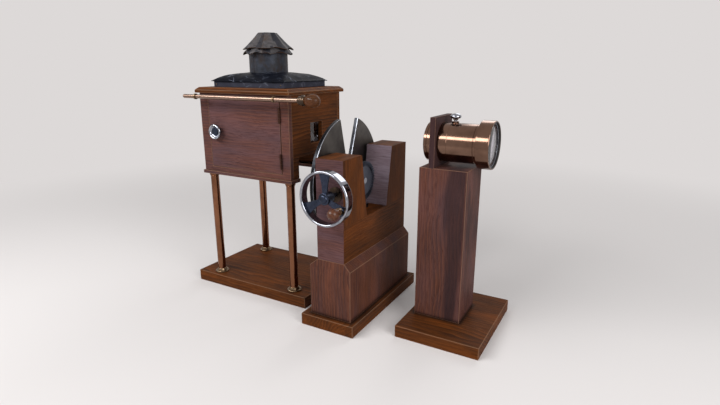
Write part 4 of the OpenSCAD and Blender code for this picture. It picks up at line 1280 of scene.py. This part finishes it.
@dataclass
class HandWheel(Assembly):
    """Hand wheel with a round rim, three flared spokes and a turned hub."""

    body: ClassVar[str] = "hand_wheel"
    x: float = 14.0
    z: float = 277.0
    rim_r: float = 51.0
    rim_wide: float = 5.5
    rim_y: tuple[float, float] = (-189.0, -170.0)
    spoke_y: tuple[float, float] = (-183.0, -179.0)
    turns: tuple[float, ...] = (90.0, 210.0, 332.0)
    crank: tuple[float, float] = (46.67, 259.63)

    def build(self) -> None:
        """Turns the rim and builds the spokes, the hub and the crank pin."""
        y0, y1 = self.rim_y
        round_r, inner = self.rim_wide / 2, self.rim_r - self.rim_wide
        middle = self.rim_r - round_r
        rounded = arc(round_r, 0, 181, 20)
        section = [(middle + c, y1 - round_r + s) for c, s in rounded]
        section += [(middle - c, y0 + round_r - s) for c, s in rounded]
        rim = Shape().turn(section, Axis.Y, (self.x, 0, self.z), steps=128, ring=True)
        self.fit("rim_polished", rim, CHROME, ["wheel_rim"])
        tip = [(math.cos(math.radians(t)) * inner, math.sin(math.radians(t)) * inner)
               for t in (-14.5, -9.5, -4.5, 0, 4.5, 9.5, 14.5)]
        flat = [(7, -5), (16, -5.4), (24, -6.2), (32, -7.8), (38, -9.4), *tip, (38, 9.4),
                (32, 7.8), (24, 6.2), (16, 5.4), (7, 5)]
        spokes = Shape()
        for turn in self.turns:
            c, s = math.cos(math.radians(turn)), math.sin(math.radians(turn))
            spokes.prism([(self.x + u * c - v * s, self.spoke_y[0], self.z + u * s + v * c)
                          for u, v in flat], (0, self.spoke_y[1] - self.spoke_y[0], 0))
        spokes.soften(0.9, over=40)
        spokes.turn([(5, -187), (9.6, -187), (10.6, -186.4), (11, -185.4), (11, -167.2),
                     (10.4, -166), (5, -166)], Axis.Y, (self.x, 0, self.z), steps=64, ring=True)
        cx, cz = self.crank
        spokes.turn([(0, -185), (6.4, -185), (7, -184.4), (7, -182), (0, -182)], Axis.Y,
                    (cx, 0, cz), steps=32)
        spokes.turn([(0, -205), (2.5, -205), (2.5, -184), (0, -184)], Axis.Y, (cx, 0, cz),
                    steps=24)
        self.fit("spokes_cast", spokes, BLUED, ["wheel_spokes"])
        axle = Shape().turn([
            (0, -190), (3, -190), (6, -189.4), (7.4, -188.4), (8, -187.2), (8, -187),
            (5, -187), (5, -61), (3, -61), (3, -52), (0, -52)], Axis.Y, (self.x, 0, self.z),
            steps=48)
        self.fit("axle_turned", axle, BLUED, ["wheel_axle"])
        self.dress(BRASS, "pinion")


@dataclass
class CrankGrip(Assembly):
    """Ball grip that turns on the hand wheel's crank pin."""

    body: ClassVar[str] = "crank_grip"
    at: Point = (46.67, -207.0, 259.63)
    r: float = 10.5

    def build(self) -> None:
        """Turns the ball and its neck ring."""
        grip = Shape().turn([*arc(self.r, -90, 56, 8), (6, 9.4), (6, 15.2), (6, 21.7),
                             (2.55, 21.7), (2.55, 0), (0, 0)], Axis.Y, self.at, steps=48)
        self.fit("ball_grip", grip, BEECH, ["wheel_knob"])
        ring = Shape().turn([(6, 14.6), (7, 14.8), (7.3, 15.6), (7.3, 20.4), (6.8, 21.6),
                             (6, 21.7)], Axis.Y, self.at, steps=32, ring=True)
        self.fit("grip_ferrule", ring, AGED_BRASS)


# ---- the lens stand ----

@dataclass
class Barrel(Assembly):
    """Pieces of the projection lens, turned about the beam."""

    beam_z: float = 365.0
    lining_r: float = 28.0

    def line(self, tube: Shape) -> Shape:
        """Gives material number 1 to the faces that look inwards from beyond lining_r."""
        return tube.paint(1, lambda at, normal: normal.dot(
            Vector((0, at.y, at.z - self.beam_z))) < -self.lining_r)


@dataclass
class LensStand(Barrel):
    """Board, pillar, plate and outer tube of the projection lens."""

    body: ClassVar[str] = "lens_stand"
    tube_r: float = 36.5
    bore_r: float = 34.5
    clamp_x: float = 183.0

    def build(self) -> None:
        """Builds the wooden stand and turns the outer tube with the clamp's boss."""
        # Painted shade where board and pillar meet; painted sheen on the pillar and the plate.
        self.plank("lens_base_board", Shape().node("lens_base"),
                   OiledWalnut(Axis.X, 14, shade_near="lens_pillar"), 1.2, ["lens_base"])
        wood = OiledWalnut(Axis.Z, 15, painted_sheen=0.35, heart=(206.0, 22.0), shade_near="lens_base")
        self.plank("pillar_planed", Shape().around("lens_pillar"), wood, 0.9, ["lens_pillar"])
        # The plate's let-in foot ends just inside the pillar, so that no joint line shows.
        foot_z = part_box("lens_pillar")[1].z / MM - 0.8
        plate = Shape().node("lens_plate").sculpt(
            lambda at: Vector((at.x, at.y, max(at.z, foot_z))))
        self.plank("lens_plate_planed", plate,
                   OiledWalnut(Axis.Z, 16, painted_sheen=0.4, heart=(155.0, 30.0)), 0.7, ["lens_plate"])
        r, bore, at = self.tube_r, self.bore_r, (0.0, 0.0, self.beam_z)
        tube = Shape().turn([
            (bore, 135), (r - 0.5, 135), (r, 135.6), (r, 140.4), (r - 0.6, 140.9),
            (r - 0.3, 141.6), (r - 0.3, 178), (r - 0.6, 178.4), (r - 0.3, 178.8),
            (r - 0.3, 226.6), (r - 0.7, 227), (r, 227.6), (r, 232.4), (r - 0.4, 233),
            (bore, 233)], Axis.X, at, steps=128, ring=True)
        self.line(tube).turn(
            [(3.05, 34.6), (6.5, 34.6), (6.5, 38.6), (6, 39.2), (5, 39.5), (3.05, 39.5)],
            Axis.Z, (self.clamp_x, 0, self.beam_z), steps=40, ring=True)
        self.fit("outer_tube", tube, [BRONZE, BLACKED], ["lens_jacket"])


@dataclass
class LensSlide(Barrel):
    """Draw tube with its hood, front bezel and lenses."""

    body: ClassVar[str] = "lens_slide"
    draw_r: float = 34.45
    draw_bore_r: float = 31.95
    hood_r: float = 44.0
    mouth_r: float = 41.0
    end_x: float = 248.0

    def build(self) -> None:
        """Turns the draw tube, the hood and the bezel that holds the front lens."""
        at, x = (0.0, 0.0, self.beam_z), self.end_x
        draw, bore, hood, mouth = self.draw_r, self.draw_bore_r, self.hood_r, self.mouth_r
        tube = Shape().turn([(bore, 137), (draw - 0.35, 137), (draw, 137.4), (draw, x),
                             (bore, x)], Axis.X, at, steps=96, ring=True)
        self.fit("draw_tube_turned", self.line(tube), [BRONZE, BLACKED], ["draw_tube"])
        cap = Shape().turn([
            (draw, 233.5), (hood - 1.3, 233.5), (hood - 0.3, 233.9), (hood, 234.8),
            (hood, 255.6), (hood - 0.2, 256.6), (hood - 0.8, 257.3), (hood - 1.6, 257.5),
            (hood - 2.4, 257.3), (mouth + 0.1, 256.6), (mouth, 255.8), (mouth, x), (draw, x)],
            Axis.X, at, steps=128, ring=True)
        self.fit("hood_turned", self.line(cap), [BRONZE, BLACKED], ["lens_hood"])
        bezel = Shape().turn([
            (mouth, x + 5.2), (mouth - 0.7, x + 5.2), (mouth - 1.1, x + 4.8),
            (mouth - 1.2, x + 4), (mouth - 1, x + 3.2), (mouth, x + 3)],
            Axis.X, at, steps=96, ring=True)
        self.fit("front_bezel", bezel, CHROME)
        self.dress(GLASS, "front_lens", "rear_lens")


@dataclass
class ClampScrew(Assembly):
    """Thumbscrew that holds the draw tube."""

    body: ClassVar[str] = "lens_clamp"
    x: float = 183.0
    tip_z: float = 399.7
    head_z: float = 406.5

    def build(self) -> None:
        """Turns the screw with its domed head."""
        z = self.head_z
        screw = Shape().turn([
            (0, self.tip_z), (3, self.tip_z), (3, z), (4, z), (4.6, z + 0.5), (4.9, z + 1.5),
            (5.6, z + 2.2), (7.8, z + 3.1), (9.2, z + 4), (9.8, z + 5), (10, z + 6.3),
            (9.8, z + 7.6), (9.2, z + 8.7), (8, z + 9.9), (6.4, z + 10.9), (4.6, z + 11.6),
            (2.6, z + 11.9), (0, z + 12)], Axis.Z, (self.x, 0, 0), steps=48)
        self.fit("thumbscrew_turned", screw, CHROME, ["clamp_screw"])


# ---- the set ----

@dataclass
class Studio:
    """Pale floor, soft lamps and the camera. Its sizes are metres."""

    pale: str = "#DDD9D8"
    floor_size: float = 12.0
    glow: tuple[float, float] = (0.7, 2.0)
    room_light: float = 0.32
    eye: Point = (0.475, -0.870, 0.500)
    look: tuple[float, float] = (74.474, 29.558)
    lens: float = 24.42
    sensor: float = 36.0
    lamps: tuple[tuple[str, Point, Point, tuple[float, float], float], ...] = (
        ("key", (-0.95, -1.4, 1.4), (-0.1, 0.0, 0.25), (1.8, 0.5), 34.0),
        ("fill", (1.7, -0.9, 1.0), (0.0, 0.0, 0.25), (1.2, 1.2), 27.0),
        ("back", (0.1, 1.6, 1.5), (0.0, 0.0, 0.3), (1.0, 1.0), 9.0),
    )

    def build(self) -> None:
        """Makes the floor, the world, the lamps and the camera."""
        self.floor()
        self.world()
        for name, at, aim, size, watts in self.lamps:
            light = bpy.data.lights.new(name, "AREA")
            light.shape, light.energy = "RECTANGLE", watts
            light.size, light.size_y = size
            lamp = self.place(name, light, at)
            lamp.rotation_euler = (Vector(aim) - Vector(at)).to_track_quat("-Z", "Y").to_euler()
        camera = self.place("camera", bpy.data.cameras.new("camera"), self.eye)
        camera.data.sensor_width, camera.data.lens = self.sensor, self.lens
        tilt, turn = self.look
        camera.rotation_euler = (math.radians(tilt), 0, math.radians(turn))
        bpy.context.scene.camera = camera
        bpy.context.scene.view_settings.view_transform = "Standard"

    def place(self, name: str, data: ID, at: Point) -> Object:
        """Adds a lamp or a camera to the scene.

        Args:
            name: Name of the object.
            data: The lamp or camera that it shows.
            at: Its place.

        Returns:
            The new object.
        """
        made = bpy.data.objects.new(name, data)
        made.location = at
        bpy.context.scene.collection.objects.link(made)
        return made

    def seen(self, tree: NodeTree) -> Node:
        """Finds the rays that show the backdrop: direct, mirrored or through glass.

        Args:
            tree: Node tree of the backdrop's material or of the world.

        Returns:
            A node that gives 1 for those rays and 0 for the rest.
        """
        path = add(tree, "LightPath")
        shown = path.outputs["Is Camera Ray"]
        for ray in ("Is Glossy Ray", "Is Transmission Ray"):
            shown = add(tree, "Math", {"operation": "MAXIMUM"}, {0: shown, 1: path.outputs[ray]})
        return shown

    def floor(self) -> None:
        """Makes the floor of matt paper, which fades to an even glow far from the lantern."""
        bpy.ops.mesh.primitive_plane_add(size=self.floor_size)
        floor = bpy.context.object
        floor.name = "floor"
        paper = bpy.data.materials.new("pale_backdrop_paper")
        paper.use_nodes = True
        tree = paper.node_tree
        tree.nodes.clear()
        place = add(tree, "TexCoord").outputs["Object"]
        far = add(tree, "VectorMath", {"operation": "LENGTH"}, {0: place})
        away = add(tree, "MapRange", {"interpolation_type": "SMOOTHSTEP"}, {
            0: far.outputs["Value"], 1: self.glow[0], 2: self.glow[1]})
        share = add(tree, "Math", {"operation": "MULTIPLY"}, {0: away, 1: self.seen(tree)})
        matt = add(tree, "BsdfDiffuse", inputs={"Color": linear(self.pale)})
        lit = add(tree, "Emission", inputs={"Color": linear(self.pale)})
        both = add(tree, "MixShader", inputs={0: share, 1: matt, 2: lit})
        add(tree, "OutputMaterial", inputs={"Surface": both})
        floor.data.materials.append(paper)

    def world(self) -> None:
        """Makes the world: the floor's pale colour where it is seen, and white light."""
        world = bpy.data.worlds.new("studio")
        bpy.context.scene.world = world
        world.use_nodes = True
        tree = world.node_tree
        tree.nodes.clear()
        sky = add(tree, "Background", inputs={"Color": linear(self.pale)})
        room = add(tree, "Background", inputs={
            "Color": linear("#FFFFFF"), "Strength": self.room_light})
        both = add(tree, "MixShader", inputs={0: self.seen(tree), 1: room, 2: sky})
        add(tree, "OutputWorld", inputs={"Surface": both})


def main() -> None:
    """Builds the set and every assembly."""
    logging.basicConfig(level=logging.INFO, format="%(name)s: %(message)s")
    Studio().build()
    assemblies: list[Assembly] = [
        LampStand(), LampHouse(), LampGear(), Door(), Roof(), PullRod(), DiscStand(), Disc(),
        HandWheel(), CrankGrip(), LensStand(), LensSlide(), ClampScrew()]
    for assembly in assemblies:
        assembly.build()
        LOG.info("%s: %d new pieces", type(assembly).__name__, len(assembly.made))


if __name__ == "__main__":
    main()
